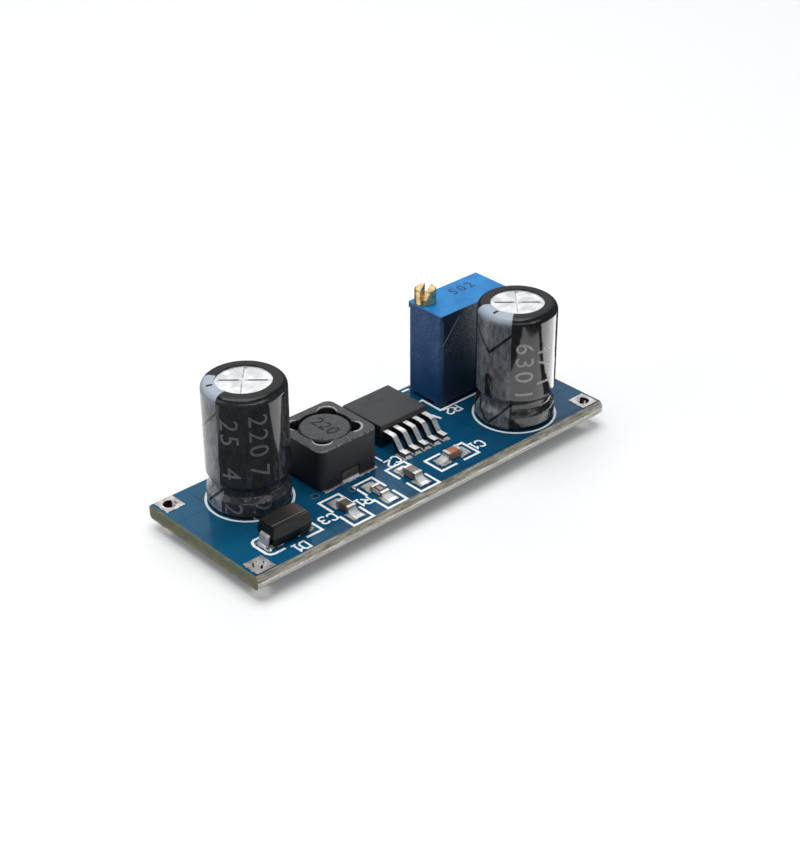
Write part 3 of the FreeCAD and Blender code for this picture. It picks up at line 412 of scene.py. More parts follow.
def trimmerFinish():
    low, high = (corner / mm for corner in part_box("trimmer_housing"))
    blue = Surface("trimmerFinish", IOR=1.38)
    fine = blue.noise(5.0, 5.0, 0.75)
    drift = blue.noise(0.45, 3.0, 0.55, (1, 1, 0.5))
    haze = blue.rise(fine * 0.65 + drift * 0.35, 0.42, 0.62)
    colour = blue.blend(haze, trimmerLook["shade"], trimmerLook["light"])
    # painted light on the end face: a grey painted sheen, with painted shade darkening it downwards; the long
    # face in front is painted dark as shade, with a pale speckled haze on one side of a diagonal line and a
    # thin pale line along it
    onEnd = blue.rise(blue.x, low.x + 0.02, low.x + 0.3, 1.0, 0.0)
    onFront = blue.rise(blue.y, low.y + 0.02, low.y + 0.3, 1.0, 0.0)
    below = blue.rise(blue.z, high.z - 0.06, high.z - 0.02, 1.0, 0.0)
    # painted shade at the foot of the end face, fading up into a painted sheen
    shadeToSheen = blue.rise(blue.z, low.z + 0.5, high.z - 2.5)
    dull = blue.blend(haze, trimmerLook["dull"], trimmerLook["pale"])
    colour = blue.blend(onEnd * below * 0.8, colour, blue.blend(shadeToSheen, trimmerLook["foot"], dull))
    # painted shade: the long face in front drawn dark
    frontShade = blue.blend(haze, trimmerLook["frontShade"], trimmerLook["smear"])
    (x0, z0), (x1, z1) = trimmerLook["line"]
    away = ((blue.x - x0) * (z1 - z0) - (blue.z - z0) * (x1 - x0)) * (1 / math.hypot(x1 - x0, z1 - z0))
    reach = blue.rise(blue.z, z0 - 0.4, z0 + 0.3) * blue.rise(blue.z, z1 - 0.2, z1 + 0.3, 1.0, 0.0)
    # a pale speckled haze on one side of the diagonal line, and a thin pale line along it
    film = blue.rise(away, 0.0, 0.6) * blue.rise(blue.z, low.z + 3.5, high.z - 1.5)
    frontShade = blue.blend(film * blue.rise(fine, 0.42, 0.6, 0.1, 0.95), frontShade, trimmerLook["film"])
    frontShade = blue.blend(blue.band(away, trimmerLook["lineHalf"], 0.05) * reach, frontShade, trimmerLook["scratch"])
    colour = blue.blend(onFront * below * 0.9, colour, frontShade)
    # painted highlight: a light line along the top edge of the end face
    lip = blue.rise(blue.z, high.z - 0.14, high.z - 0.06) * onEnd * below
    colour = blue.blend(lip * 0.7, colour, trimmerLook["lip"])
    return blue.wear(Base_Color=colour, Roughness=fine * 0.2 + 0.32,
                     Normal=blue.relief(fine * 0.02 + drift * 0.03))


leadTones = {"bright": (252, 252, 252), "film": (226, 225, 222), "cut": (58, 46, 40)}


def leadFinish():
    # tinned strip: bright where it faces up or slopes, bare and dark on its cut sides and its cut toe
    lead = Surface("leadFinish", Metallic=1.0)
    cloud = lead.noise(2.4, 4.0, 0.6)
    colour = lead.blend(lead.rise(cloud, 0.4, 0.65), leadTones["bright"], leadTones["film"])
    nx, ny, nz = lead.facing()
    cut = lead.rise(abs(nx), 0.6, 0.9) | lead.rise(ny, -0.97, -0.9, 1.0, 0.0)
    colour = lead.blend(cut * 0.94, colour, leadTones["cut"])
    draw = lead.noise(6.0, 2.0, 0.5, (1.0, 0.15, 0.15))
    flat = lead.rise(nz, 0.75, 0.95)
    return lead.wear(Base_Color=colour, Metallic=flat * -0.75 + 1.0,
                     Roughness=cloud * 0.12 + cut * 0.25 + 0.1,
                     Normal=lead.relief(draw * 0.02 + cloud * 0.02))


capTones = {"bright": (254, 251, 244), "film": (224, 217, 206), "wall": (84, 72, 62)}


def endCapFinish():
    # plated chip ends: bright cream where they face up, dull and dark on their walls
    cap = Surface("endCapFinish", Metallic=1.0)
    cloud = cap.noise(2.6, 4.0, 0.6)
    wall = cap.rise(cap.facing()[2], 0.2, 0.8, 1.0, 0.0)
    colour = cap.blend(cap.rise(cloud, 0.4, 0.65), capTones["bright"], capTones["film"])
    colour = cap.blend(wall * 0.75, colour, capTones["wall"])
    return cap.wear(Base_Color=colour, Metallic=wall * 0.6 + 0.3, Roughness=cloud * 0.14 + wall * 0.2 + 0.1,
                    Normal=cap.relief(cloud * 0.03))


landTones = {"tin": (214, 206, 200), "dull": (164, 156, 150), "pit": (126, 116, 110), "hollow": (58, 52, 48),
             "run": (252, 251, 249)}


def landFinish():
    # hot-dipped tin on the lands; inside a hole painted highlights in bright runs, which also glow, alternate
    # with painted shade in dark hollows
    land = Surface("landFinish", Emission_Strength=0.22)
    cloud = land.noise(1.3, 4.0, 0.6)
    barrel = land.rise(abs(land.facing()[2]), 0.3, 0.6, 1.0, 0.0)
    runs = land.rise(land.noise(1.9, 2.0, 0.5, (1, 1, 0.3)), 0.56, 0.6)
    colour = land.blend(land.rise(cloud, 0.4, 0.68), landTones["tin"], landTones["dull"])
    pit = land.rise(land.noise(2.6, 3.0, 0.6), 0.56, 0.66)
    colour = land.blend(pit * 0.6, colour, landTones["pit"])
    # painted highlight and painted shade on the wall of each hole
    colour = land.blend(barrel, colour, land.blend(runs, landTones["hollow"], landTones["run"]))
    # painted light: the bright runs glow
    paintedGlint = land.blend(barrel * runs, (0, 0, 0), (255, 255, 255))
    return land.wear(Base_Color=colour, Emission_Color=paintedGlint, Metallic=0.4, Roughness=cloud * 0.3 + 0.06,
                     Normal=land.relief(cloud * 0.06))


glazeTones = {"black": (16, 15, 16), "film": (126, 100, 94), "pale": (176, 152, 144)}


def glazeFinish():
    # black glaze round a window through which the pinkish film of the resistor shows
    low, high = (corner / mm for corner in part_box("divider_chip_glaze"))
    glaze = Surface("glazeFinish", IOR=1.5)
    fine = glaze.noise(7.0, 3.0, 0.7)
    halfX, halfY = (high.x - low.x) / 2, (high.y - low.y) / 2
    window = (glaze.band(glaze.x - (low.x + high.x) / 2, halfX - 0.2, 0.05)
              * glaze.band(glaze.y - (low.y + high.y) / 2, halfY - 0.22, 0.05))
    middle = glaze.blend(glaze.rise(fine, 0.35, 0.65), glazeTones["film"], glazeTones["pale"])
    return glaze.wear(Base_Color=glaze.blend(window, glazeTones["black"], middle),
                      Roughness=fine * 0.2 + 0.12, Normal=glaze.relief(fine * 0.006))


brassTones = {"deep": (190, 156, 100), "light": (232, 206, 152), "pit": (98, 74, 46)}


def brassFinish():
    # turned brass: two tones in soft clouds, darker pits, fine rings left by the tool
    brass = Surface("brassFinish", Metallic=0.85)
    cloud = brass.noise(1.1, 3.0, 0.6)
    pit = brass.rise(brass.noise(2.4, 3.0, 0.6), 0.56, 0.68)
    colour = brass.blend(brass.rise(cloud, 0.35, 0.65), brassTones["deep"], brassTones["light"])
    colour = brass.blend(pit * 0.3, colour, brassTones["pit"])
    turned = brass.noise(9.0, 2.0, 0.5, (0.2, 0.2, 3.0))
    return brass.wear(Base_Color=colour, Roughness=cloud * 0.25 + 0.14,
                      Normal=brass.relief(turned * 0.002 + cloud * 0.005))


tin = metalFinish("tinnedLead", (214, 213, 210), (164, 162, 158), 0.25, 0.4, 0.02, sheen=0.6)
land, cap = landFinish(), endCapFinish()
solder = metalFinish("solderFinish", (250, 250, 249), (206, 205, 202), 0.06, 0.2, 0.03, sheen=0.5)
clip = metalFinish("clipFinish", (120, 112, 104), (84, 78, 72), 0.36, 0.55, 0.03, 0.02, 0.3)
spring = metalFinish("springFinish", (206, 198, 176), (166, 158, 138), 0.25, 0.4, 0.01)
silverInk = metalFinish("silverInkFinish", (206, 204, 198), (168, 166, 160), 0.4, 0.6, 0.02)
copper = metalFinish("enamelledCopper", (196, 112, 62), (150, 78, 40), 0.25, 0.4, 0.03)
filmInk = ceramicFinish("resistiveInk", (44, 44, 46), (26, 26, 28))
alumina = ceramicFinish("aluminaFinish", (226, 226, 222), (204, 203, 198))
whitePlastic = plasticFinish("whitePlastic", (228, 227, 220), (208, 206, 198), 0.4, 0.01)
rubber = plasticFinish("rubberFinish", (26, 26, 27), (18, 18, 19), 0.6, 0.02)
blackBase = plasticFinish("blackBase", (34, 34, 35), (22, 22, 23), 0.45, 0.02)

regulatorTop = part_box("regulator_body")[1].z / mm
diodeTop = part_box("diode_body")[1].z / mm
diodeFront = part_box("diode_body")[0].y / mm
ejectorMark = (3.39, 5.15, 0.65)                # x, y and radius
diodeGroove = (diodeFront + 0.5, 0.09, -16.4)   # y, width and the x where rust starts
regulatorResin = mouldedFinish("regulatorResin", (48, 48, 50), (6, 6, 7), regulatorTop, 0.62, 0.36,
                               ring=ejectorMark)
diodeResin = mouldedFinish("diodeResin", (14, 13, 15), (12, 12, 13), diodeTop, 0.5, 0.42,
                           groove=diodeGroove)
brownCeramic = ceramicFinish("brownCeramic", (100, 84, 74), (66, 54, 48))
greyCeramic = ceramicFinish("greyCeramic", (148, 138, 124), (118, 108, 96))
tanCeramic = ceramicFinish("tanCeramic", (192, 130, 94), (158, 102, 74))

dress(boardFinish(), "board")
dress(land, "terminal_output_minus", "terminal_output_plus", "terminal_input_plus", "terminal_input_minus",
      "chip_lands", "diode_lands", "inductor_lands", "regulator_lands")
dress(solder, "lead_solder", "chip_solder", "diode_solder", "inductor_solder", "regulator_solder")
dress(leadFinish(), "regulator_leads")
dress(clip, "inductor_front_clip", "inductor_back_clip")
dress(tin, "regulator_tab", "diode_cathode_lead", "diode_anode_lead",
      "trimmer_left_pin", "trimmer_middle_pin", "trimmer_right_pin",
      *(name + lead for name in ("output_capacitor", "input_capacitor")
        for lead in ("_minus_lead", "_plus_lead")))
dress(cap, "smoothing_chip_caps", "divider_chip_caps", "feedback_chip_caps", "bypass_chip_caps")
dress(canFinish("output_capacitor"), "output_capacitor_can")
dress(canFinish("input_capacitor"), "input_capacitor_can")
dress(ferriteFinish(), "inductor_shield", "inductor_core")
dress(copper, "inductor_winding")
dress(blackBase, "inductor_base", "trimmer_base")
dress(regulatorResin, "regulator_body")
dress(diodeResin, "diode_body")
dress(brownCeramic, "smoothing_chip_body")
dress(greyCeramic, "feedback_chip_body")
dress(tanCeramic, "bypass_chip_body")
dress(alumina, "divider_chip_body", "trimmer_element")
dress(glazeFinish(), "divider_chip_glaze")
dress(trimmerFinish(), "trimmer_housing")
dress(brassFinish(), "trimmer_screw")
dress(whitePlastic, "trimmer_rotor")
dress(rubber, "trimmer_seal_ring")
dress(spring, "trimmer_retaining_clip", "trimmer_wiper")
dress(silverInk, "trimmer_conductors")
dress(filmInk, "trimmer_track")
print("finishes made")


# Shape writing

def skin(rows, around=True, along=False, lids=False):
    # quads between neighbouring points of a grid: each row closed on itself and joined to the next
    count, size = rows.shape[:2]
    index = np.arange(count * size).reshape(count, size)
    first = index
    if around:
        index = np.concatenate([index, index[:, :1]], 1)
    if along:
        index = np.concatenate([index, index[:1]], 0)
    quads = np.stack([index[:-1, :-1], index[:-1, 1:], index[1:, 1:], index[1:, :-1]], -1).reshape(-1, 4)
    faces = quads.tolist()
    if lids:
        faces += [first[0, ::-1].tolist(), first[-1].tolist()]
    return rows.reshape(-1, 3), faces


def gather(shapes):  # several shapes as one
    starts = np.cumsum([0] + [len(points) for points, faces in shapes])
    points = np.concatenate([points for points, faces in shapes])
    faces = [[int(corner + start) for corner in face]
             for start, (own, many) in zip(starts, shapes) for face in many]
    return points, faces


def piece(name, shape, body, surface, sharp=40.0, replaced=()):
    points, faces = shape
    mesh = bpy.data.meshes.new(name)
    mesh.from_pydata((np.asarray(points) * mm).tolist(), [], faces)
    work = bmesh.new()
    work.from_mesh(mesh)
    bmesh.ops.remove_doubles(work, verts=work.verts, dist=1e-7)
    bmesh.ops.recalc_face_normals(work, faces=work.faces)
    work.to_mesh(mesh)
    work.free()
    mesh.polygons.foreach_set("use_smooth", np.ones(len(mesh.polygons), bool))
    mesh.set_sharp_from_angle(angle=math.radians(sharp))
    mesh.materials.append(surface.material)
    made = bpy.data.objects.new(name, mesh)
    bpy.context.scene.collection.objects.link(made)
    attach(made, body)
    if replaced:
        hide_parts(*replaced)
    return made


def rounded(corners, steps=6):
    # profile of (a, b, radius) corners: each corner becomes an arc tangent to its two runs
    corners = np.array(corners, float)
    spots, radii = corners[:, :2], corners[:, 2]
    pieces = []
    for before, spot, after, radius in zip(np.roll(spots, 1, 0), spots, np.roll(spots, -1, 0), radii):
        if radius == 0:
            pieces.append(spot[None])
            continue
        come, go = (before - spot), (after - spot)
        come, go = come / np.linalg.norm(come), go / np.linalg.norm(go)
        half = math.acos(float(np.clip(come @ go, -1, 1))) / 2
        centre = spot + (come + go) / np.linalg.norm(come + go) * radius / math.sin(half)
        start, end = spot + come * radius / math.tan(half), spot + go * radius / math.tan(half)
        share = np.linspace(0, 1, steps + 1)[:, None]
        chord = start * (1 - share) + end * share - centre
        pieces.append(centre + chord / np.linalg.norm(chord, axis=1, keepdims=True) * radius)
    return np.concatenate(pieces)


def revolved(profile, x, y, count=96):
    # points at radius a and height b, carried round the upright line through x, y
    angle = np.linspace(0, 2 * math.pi, count, endpoint=False)[:, None]
    a, b = profile[None, :, 0], profile[None, :, 1]
    return np.stack([x + a * np.cos(angle), y + a * np.sin(angle), b + 0 * angle], -1)


def tube(line, level, radius):
    # round bead along a line in plan: a circle across it at each point, thinner towards its ends
    line = np.array(line, float)
    run = np.gradient(line, axis=0)
    run /= np.linalg.norm(run, axis=1, keepdims=True)
    share = np.linspace(0, math.pi, len(line))[:, None]
    thick = radius * (0.35 + 0.65 * np.sin(share) ** 0.5)
    angle = np.linspace(0, 2 * math.pi, 14, endpoint=False)[None, :]
    side = thick * np.cos(angle)
    rows = np.stack([line[:, :1] - run[:, 1:] * side, line[:, 1:] + run[:, :1] * side,
                     level + thick * np.sin(angle)], -1)
    return skin(rows, True, False, True)


def ribbon(line, width, low, high, closed=False):
    # flat strip along a line in plan: each point moved half the width to either side along its mitre
    line = np.array(line, float)
    runs = np.diff(np.concatenate([line, line[:1]]) if closed else line, axis=0)
    runs /= np.linalg.norm(runs, axis=1, keepdims=True)
    sides = np.stack([-runs[:, 1], runs[:, 0]], 1)
    if closed:
        before, after = np.roll(sides, 1, 0), sides
    else:
        before, after = np.concatenate([sides[:1], sides]), np.concatenate([sides, sides[-1:]])
    mitre = before + after
    mitre /= np.sum(mitre * after, axis=1, keepdims=True)
    left, right = line + mitre * width / 2, line - mitre * width / 2
    rows = np.stack([np.column_stack([rim, np.full(len(line), level)])
                     for rim, level in ((left, low), (right, low), (right, high), (left, high))], 1)
    return skin(rows, True, closed, not closed)


capShare = 0.73               # part of a font's size that its capitals fill


def letters(words, height, depth, weight=0.0, gap=1.0):
    # flat characters in plan, centred, their height along Y, as a mesh in mm
    curve = bpy.data.curves.new("letters", "FONT")
    curve.body, curve.size = words, height / capShare
    curve.align_x, curve.align_y = "CENTER", "CENTER"
    curve.extrude, curve.offset = depth / 2, weight
    curve.resolution_u, curve.space_character = 4, gap
    holder = bpy.data.objects.new("letters", curve)
    bpy.context.scene.collection.objects.link(holder)
    bpy.context.view_layer.update()
    mesh = bpy.data.meshes.new_from_object(holder.evaluated_get(bpy.context.evaluated_depsgraph_get()))
    bpy.data.objects.remove(holder)
    bpy.data.curves.remove(curve)
    return mesh


def meshShape(mesh, strips=0.0, across=0):
    # points and faces of a mesh, cut into strips along one axis where it is to be bent
    work = bmesh.new()
    work.from_mesh(mesh)
    bmesh.ops.remove_doubles(work, verts=work.verts, dist=1e-5)
    if strips:
        spread = [vert.co[across] for vert in work.verts]
        normal = Vector((across == 0, across == 1, 0))
        for level in np.arange(min(spread) + strips, max(spread), strips):
            bmesh.ops.bisect_plane(work, geom=work.verts[:] + work.edges[:] + work.faces[:],
                                   plane_co=normal * float(level), plane_no=normal)
    cut = bpy.data.meshes.new("cut")
    work.to_mesh(cut)
    work.free()
    points = np.empty(len(cut.vertices) * 3)
    cut.vertices.foreach_get("co", points)
    faces = [list(face.vertices) for face in cut.polygons]
    bpy.data.meshes.remove(cut)
    bpy.data.meshes.remove(mesh)
    return points.reshape(-1, 3), faces


def laid(shape, x, y, z, angle):  # characters turned in plan and moved
    points, faces = shape
    turn = math.radians(angle)
    plan = points[:, :2] @ np.array([[math.cos(turn), math.sin(turn)], [-math.sin(turn), math.cos(turn)]])
    return np.column_stack([plan[:, 0] + x, plan[:, 1] + y, points[:, 2] + z]), faces


# Board print, measured from the front left corner of the board's top

boardLow, boardHigh = (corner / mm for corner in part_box("board"))
cornerX, cornerY = boardLow.x, boardLow.y + boardRidge
boardTop = boardHigh.z
ink = {
    "depth": 0.018, "sink": 0.002, "line": 0.27, "ringGap": 0.15, "ringLine": 0.24,
    "letter": 1.12, "stroke": 0.2, "bracket": [(0.45, 1.2), (2.5, 1.2), (2.5, -1.2), (0.45, -1.2)],
    "lines": [
        [(4.2, 4.5), (3.4, 4.5), (3.05, 4.28), (2.86, 3.8), (2.9, 2.1), (3.08, 1.74), (3.5, 1.57),
         (4.73, 1.6)],
        [(9.05, 3.08), (9.08, 1.57), (7.24, 1.6)],
        [(31.36, 12.4), (31.78, 12.42), (31.72, 9.72), (36.9, 9.72)],
        [(31.4, 15.1), (32.35, 15.06)],
        [(30.2, 9.05), (30.46, 9.42), (30.68, 8.5)],
    ],
    "labels": [("C", 11.08, 2.53), ("3", 10.15, 2.63), ("D", 6.3, 0.8), ("1", 5.5, 0.86),
               ("R", 15.26, 2.42), ("1", 14.47, 2.55), ("C", 30.14, 2.43), ("1", 29.35, 2.5),
               ("R", 33.2, 8.92), ("2", 32.24, 8.99), ("C", 22.12, 5.89), ("2", 21.17, 5.71),
               ("L", 20.58, 7.1)],
}
glyphs = {  # strokes of each sign in a field one high and 0.62 wide
    "C": [[(0.62, 0.8), (0.46, 1), (0.16, 1), (0, 0.8), (0, 0.2), (0.16, 0), (0.46, 0), (0.62, 0.2)]],
    "D": [[(0, 0), (0, 1), (0.42, 1), (0.62, 0.8), (0.62, 0.2), (0.42, 0), (-0.08, 0)]],
    "L": [[(0, 1), (0, 0), (0.6, 0)]],
    "R": [[(0, 0), (0, 1), (0.46, 1), (0.62, 0.86), (0.62, 0.62), (0.46, 0.48), (0, 0.48)],
          [(0.3, 0.48), (0.64, 0)]],
    "1": [[(0.06, 0.76), (0.32, 1), (0.32, 0)], [(0.08, 0), (0.56, 0)]],
    "2": [[(0, 0.8), (0.14, 1), (0.48, 1), (0.62, 0.82), (0.62, 0.62), (0, 0.1), (0, 0), (0.64, 0)]],
    "3": [[(0, 0.84), (0.14, 1), (0.48, 1), (0.62, 0.84), (0.62, 0.64), (0.46, 0.52), (0.22, 0.52)],
          [(0.46, 0.52), (0.62, 0.4), (0.62, 0.16), (0.48, 0), (0.14, 0), (0, 0.16)]],
}


def sign(name, x, y):
    # strokes of a sign upside down in plan, each a little higher than the one before
    shapes = []
    for step, stroke in enumerate(glyphs[name]):
        line = (np.array(stroke) - (0.31, 0.5)) * -ink["letter"] + (x + cornerX, y + cornerY)
        level = boardTop + ink["depth"] * (1.1 + 0.2 * step)
        shapes.append(ribbon(line, ink["stroke"], boardTop - ink["sink"], level))
    return gather(shapes)


def chipBrackets():
    # two facing brackets round each chip, open in the middle of the long sides
    found = []
    for name, along in (("smoothing_chip", 1), ("divider_chip", 1), ("feedback_chip", 1), ("bypass_chip", 0)):
        low, high = (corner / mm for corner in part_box(name + "_caps"))
        centre = np.array([(low.x + high.x) / 2, (low.y + high.y) / 2])
        for end in (-1, 1):
            line = np.array(ink["bracket"]) * (end, 1)
            line = line[:, ::-1] if along else line
            found.append(centre + line)
    return found


def silkscreen():
    low, high = boardTop - ink["sink"], boardTop + ink["depth"]
    shapes = [ribbon(np.array(line) + (cornerX, cornerY), ink["line"], low, high) for line in ink["lines"]]
    shapes += [ribbon(line, ink["line"], low, high) for line in chipBrackets()]
    turn = np.linspace(0, 2 * math.pi, 96, endpoint=False)
    for name in ("output_capacitor_sleeve", "input_capacitor_sleeve"):
        near, far = (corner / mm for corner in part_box(name))
        radius = (far.x - near.x) / 2 + ink["ringGap"]
        ring = np.column_stack([(near.x + far.x) / 2 + radius * np.cos(turn),
                                (near.y + far.y) / 2 + radius * np.sin(turn)])
        shapes.append(ribbon(ring, ink["ringLine"], low, high, closed=True))
    shapes += [sign(*label) for label in ink["labels"]]
    return gather(shapes)


whiteInk = plasticFinish("whiteInk", (254, 255, 255), (234, 238, 240), 0.4, 0.01)
piece("silkscreen", silkscreen(), "module", whiteInk, 30.0)

viaSpots = {"centres": [(12.22, 6.3), (15.57, 4.8)], "radius": 0.5, "hole": 0.27, "height": 0.02,
            "bevel": 0.06, "flare": 0.02, "pit": 0.004, "facets": 40}
vias, holeShades = [], []
for x, y in viaSpots["centres"]:
    outer, inner = viaSpots["radius"], viaSpots["hole"]
    foot, top = boardTop - ink["sink"], boardTop + viaSpots["height"]
    ring = np.array([(inner, foot), (outer, foot), (outer - viaSpots["bevel"], top),
                     (inner + viaSpots["flare"], top)])
    vias.append(skin(revolved(ring, x + cornerX, y + cornerY, viaSpots["facets"]), True, True))
    # painted shade: a dark disc in each hole stands for its shaded inside
    level = foot + viaSpots["pit"]
    pit = np.array([(0, foot), (inner, foot), (inner, level), (0, level)])
    holeShades.append(skin(revolved(pit, x + cornerX, y + cornerY, viaSpots["facets"]), True, True))
viaRing = plasticFinish("viaRing", (58, 104, 112), (16, 74, 104), 0.2, 0.01, IOR=1.5)
viaHoleShade = plasticFinish("viaHoleShade", (30, 20, 12), (14, 10, 8), 0.5, 0.01)
piece("viaRings", gather(vias), "module", viaRing)
piece("viaHoleShades", gather(holeShades), "module", viaHoleShade)


# Solder domes under the board, one over each wired lead

domes = {"wide": 0.9, "tip": 0.3, "tipRise": 0.16, "power": 2.4, "facets": 40}


def domeShape(x, y, top):
    # concave cone: its radius grows as a power of the height above the rounded tip
    share = np.linspace(0, 1, 14)
    radius = domes["tip"] + (domes["wide"] - domes["tip"]) * share ** domes["power"]
    level = domes["tipRise"] + (top - domes["tipRise"]) * share
    turn = np.linspace(0, math.pi / 2, 6)[:-1]
    cap = np.column_stack([domes["tip"] * np.sin(turn), domes["tipRise"] * (1 - np.cos(turn))])
    profile = np.concatenate([cap, np.column_stack([radius, level]), [(0, top)]])
    return skin(revolved(profile, x, y, domes["facets"]), True, True)


def wiredLeads():
    names = [can + lead for can in ("output_capacitor", "input_capacitor")
             for lead in ("_minus_lead", "_plus_lead")]
    return names + ["trimmer_left_pin", "trimmer_middle_pin", "trimmer_right_pin"]


places = [sum(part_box(name), Vector()) / 2 / mm for name in wiredLeads()]
piece("lead_joints", gather([domeShape(spot.x, spot.y, boardLow.z) for spot in places]), "module", solder,
      50.0, ("lead_solder",))
print("board print made")


# Glue and numbers on the inductor, a solder bead at the diode, a number on the trimmer

markLift = 0.005              # mm that a flat number stands clear of its face
inductor = {"beadStart": 2.78, "beadReach": 0.8, "beadHalf": 0.92, "bead": 0.12,
            "number": "220", "digit": 1.5}


def inductorBeads(centre, level):
    # in each corner pocket a bead of glue on half an ellipse that bulges outwards along the diagonal
    turn = np.linspace(0, math.pi, 25)
    out = inductor["beadStart"] + inductor["beadReach"] * np.sin(turn)
    side = inductor["beadHalf"] * np.cos(turn)
    beads = []
    for corner in np.radians((45, 135, 225, 315)):
        line = np.column_stack([centre[0] + out * math.cos(corner) - side * math.sin(corner),
                                centre[1] + out * math.sin(corner) + side * math.cos(corner)])
        beads.append(tube(line, level, inductor["bead"]))
    return gather(beads)


shieldLow, shieldHigh = (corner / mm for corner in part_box("inductor_shield"))
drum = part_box("inductor_core")[1].z / mm
middle = ((shieldLow.x + shieldHigh.x) / 2, (shieldLow.y + shieldHigh.y) / 2)
# partly painted highlight: the glue is drawn near white, standing in for the bright line along its meniscus
glueAndHighlight = plasticFinish("glueAndHighlightFinish", (196, 196, 194), (140, 140, 139), 0.06, 0.004, IOR=1.5)
piece("inductor_glue", inductorBeads(middle, shieldHigh.z - 0.03), "module", glueAndHighlight)
engraved = plasticFinish("engravedFinish", (12, 12, 13), (6, 6, 7), 0.6, 0.01)
digits = meshShape(letters(inductor["number"], inductor["digit"], 0.008, 0.025, 1.08))
digits = laid(digits, *middle, drum + markLift, -90)
piece("inductor_number", digits, "module", engraved)

diodeBead = {"at": (3.47, 2.17), "radius": 0.17, "height": 0.26, "facets": 28}
bow = np.linspace(0, math.pi / 2, 9)
bead = np.column_stack([diodeBead["radius"] * np.cos(bow), boardTop + diodeBead["height"] * np.sin(bow)])
bead = np.concatenate([[(0, boardTop)], bead])
beadX, beadY = diodeBead["at"]
bead = skin(revolved(bead, beadX + cornerX, beadY + cornerY, diodeBead["facets"]), True, True)
piece("diode_bead", bead, "module", solder)

trimmerMark = {"number": "502", "digit": 1.25, "at": (15.4, 5.35)}
digits = meshShape(letters(trimmerMark["number"], trimmerMark["digit"], 0.008, 0.012, 1.35))
stamped = plasticFinish("stampedFinish", (16, 56, 98), (8, 34, 66), 0.45, 0.01)
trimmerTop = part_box("trimmer_housing")[1].z / mm
digits = laid(digits, *trimmerMark["at"], trimmerTop + markLift, 0)
piece("trimmer_number", digits, "module", stamped)
print("small marks made")


# Capacitor sleeves

sleeves = {
    "output_capacitor": {"stripe": 158.0, "half": 34.0, "print": (150, 150, 147), "black": 53, "grey": 124,
                         "columns": [(208.5, 1.35, "25"), (208.5, 6.4, "4"), (208.5, 10.3, "25"),
                                     (247.5, 0.9, "220"), (247.5, 6.2, "7"), (247.5, 10.0, "22")]},
    "input_capacitor": {"stripe": 183.0, "half": 33.5, "print": (205, 205, 200), "black": 35, "grey": 92,
                        "columns": [(235.0, 1.9, "630"), (235.0, 7.4, "1"),
                                    (267.0, 2.2, "47"), (267.0, 6.4, "1")]},
    "radius": 4.0, "thickness": 0.11, "window": 2.66, "shoulder": 0.75, "crimpHeight": 2.6, "crimpHalf": 0.92,
    "crimpFlat": 0.32, "crimpDepth": 0.38, "footRise": 0.42, "footTaper": 0.25, "digit": 1.9,
    "printLift": 0.007, "gather": 0.08, "gatherReach": 0.75, "arcSteps": 9,
    "chevronTop": 4.1, "chevronWidth": 0.19, "barDepth": 7.9, "barHalf": 0.92, "barRound": 0.52,
    "chevronFoot": 0.35, "dashAt": 3.2, "dashReach": 0.28, "dashHalf": 0.13,
}


def sleeveFinish(name, centre, top, foot, own):
    # black film: a grey stripe from top to foot with two V marks and a bar, wrinkled by shrinking
    film = Surface(name, IOR=1.4)
    turn, radius = math.radians(own["stripe"]), sleeves["radius"]
    dx, dy = film.x - centre[0], film.y - centre[1]
    outward = dx * math.cos(turn) + dy * math.sin(turn)
    sideways = dy * math.cos(turn) - dx * math.sin(turn)
    arc = abs(film.node("ShaderNodeMath", {"operation": "ARCTAN2"}, {0: sideways, 1: outward})) * radius
    away = (dx ** 2 + dy ** 2) ** 0.5
    depth = top - film.z
    half = math.radians(own["half"]) * radius
    stripe = film.rise(arc, half - 0.04, half + 0.04, 1.0, 0.0)
    tips = (sleeves["chevronTop"], top - foot - sleeves["chevronFoot"])
    first, second = (film.band(depth - tip + arc, sleeves["chevronWidth"] - 0.03, 0.06) for tip in tips)
    past = (abs(depth - sleeves["barDepth"]) - sleeves["barHalf"]) | 0.0
    bar = film.band((arc ** 2 + past ** 2) ** 0.5, sleeves["barRound"] - 0.04, 0.08)
    dash = (film.band(arc * away / radius, sleeves["dashHalf"], 0.05)
            * film.band(away - sleeves["dashAt"], sleeves["dashReach"], 0.05)
            * film.rise(depth, 0.3, 0.4, 1.0, 0.0))
    marks = (first | second) | (bar | dash)
    printed = stripe * (1 - marks)
    mottle = film.noise(2.2, 4.0, 0.65, (1, 1, 0.45))
    black, grey = (np.array([own[tone], own[tone] * 1.03, own[tone] * 1.07]) for tone in ("black", "grey"))
    black = film.blend(film.rise(mottle, 0.35, 0.7), black, black + 18)
    black = film.blend(film.rise(depth, 0.1, 0.6, 1.0, 0.0), black, (17, 17, 18))
    grey = film.blend(film.rise(mottle, 0.35, 0.65), grey, grey + 42)
    shoulder = film.rise(depth + mottle, 0.9, 1.6, 1.0, 0.0)
    grey = film.blend(shoulder, grey, (170, 181, 191))  # painted highlight: pale at the shoulder, where the print reflects the overhead light
    # film wrinkles: long soft folds down the wall, finer ones near the crimp and the foot
    folds = film.noise(0.5, 2.0, 0.5, (1, 1, 0.35))
    nearFoot = film.rise(film.z, foot + 1.5, foot + 4.5, 1.0, 0.05)
    crease = film.noise(1.3, 3.0, 0.6, (1, 1, 0.8), 0.8)
    return film.wear(Base_Color=film.blend(printed, black, grey), Roughness=printed * 0.16 + mottle * 0.05
                     + film.rise(depth, 0.02, 0.12, 0.5, 0.06),
                     Normal=film.relief(folds * 0.05 + crease * nearFoot * 0.09 + mottle * 0.004))


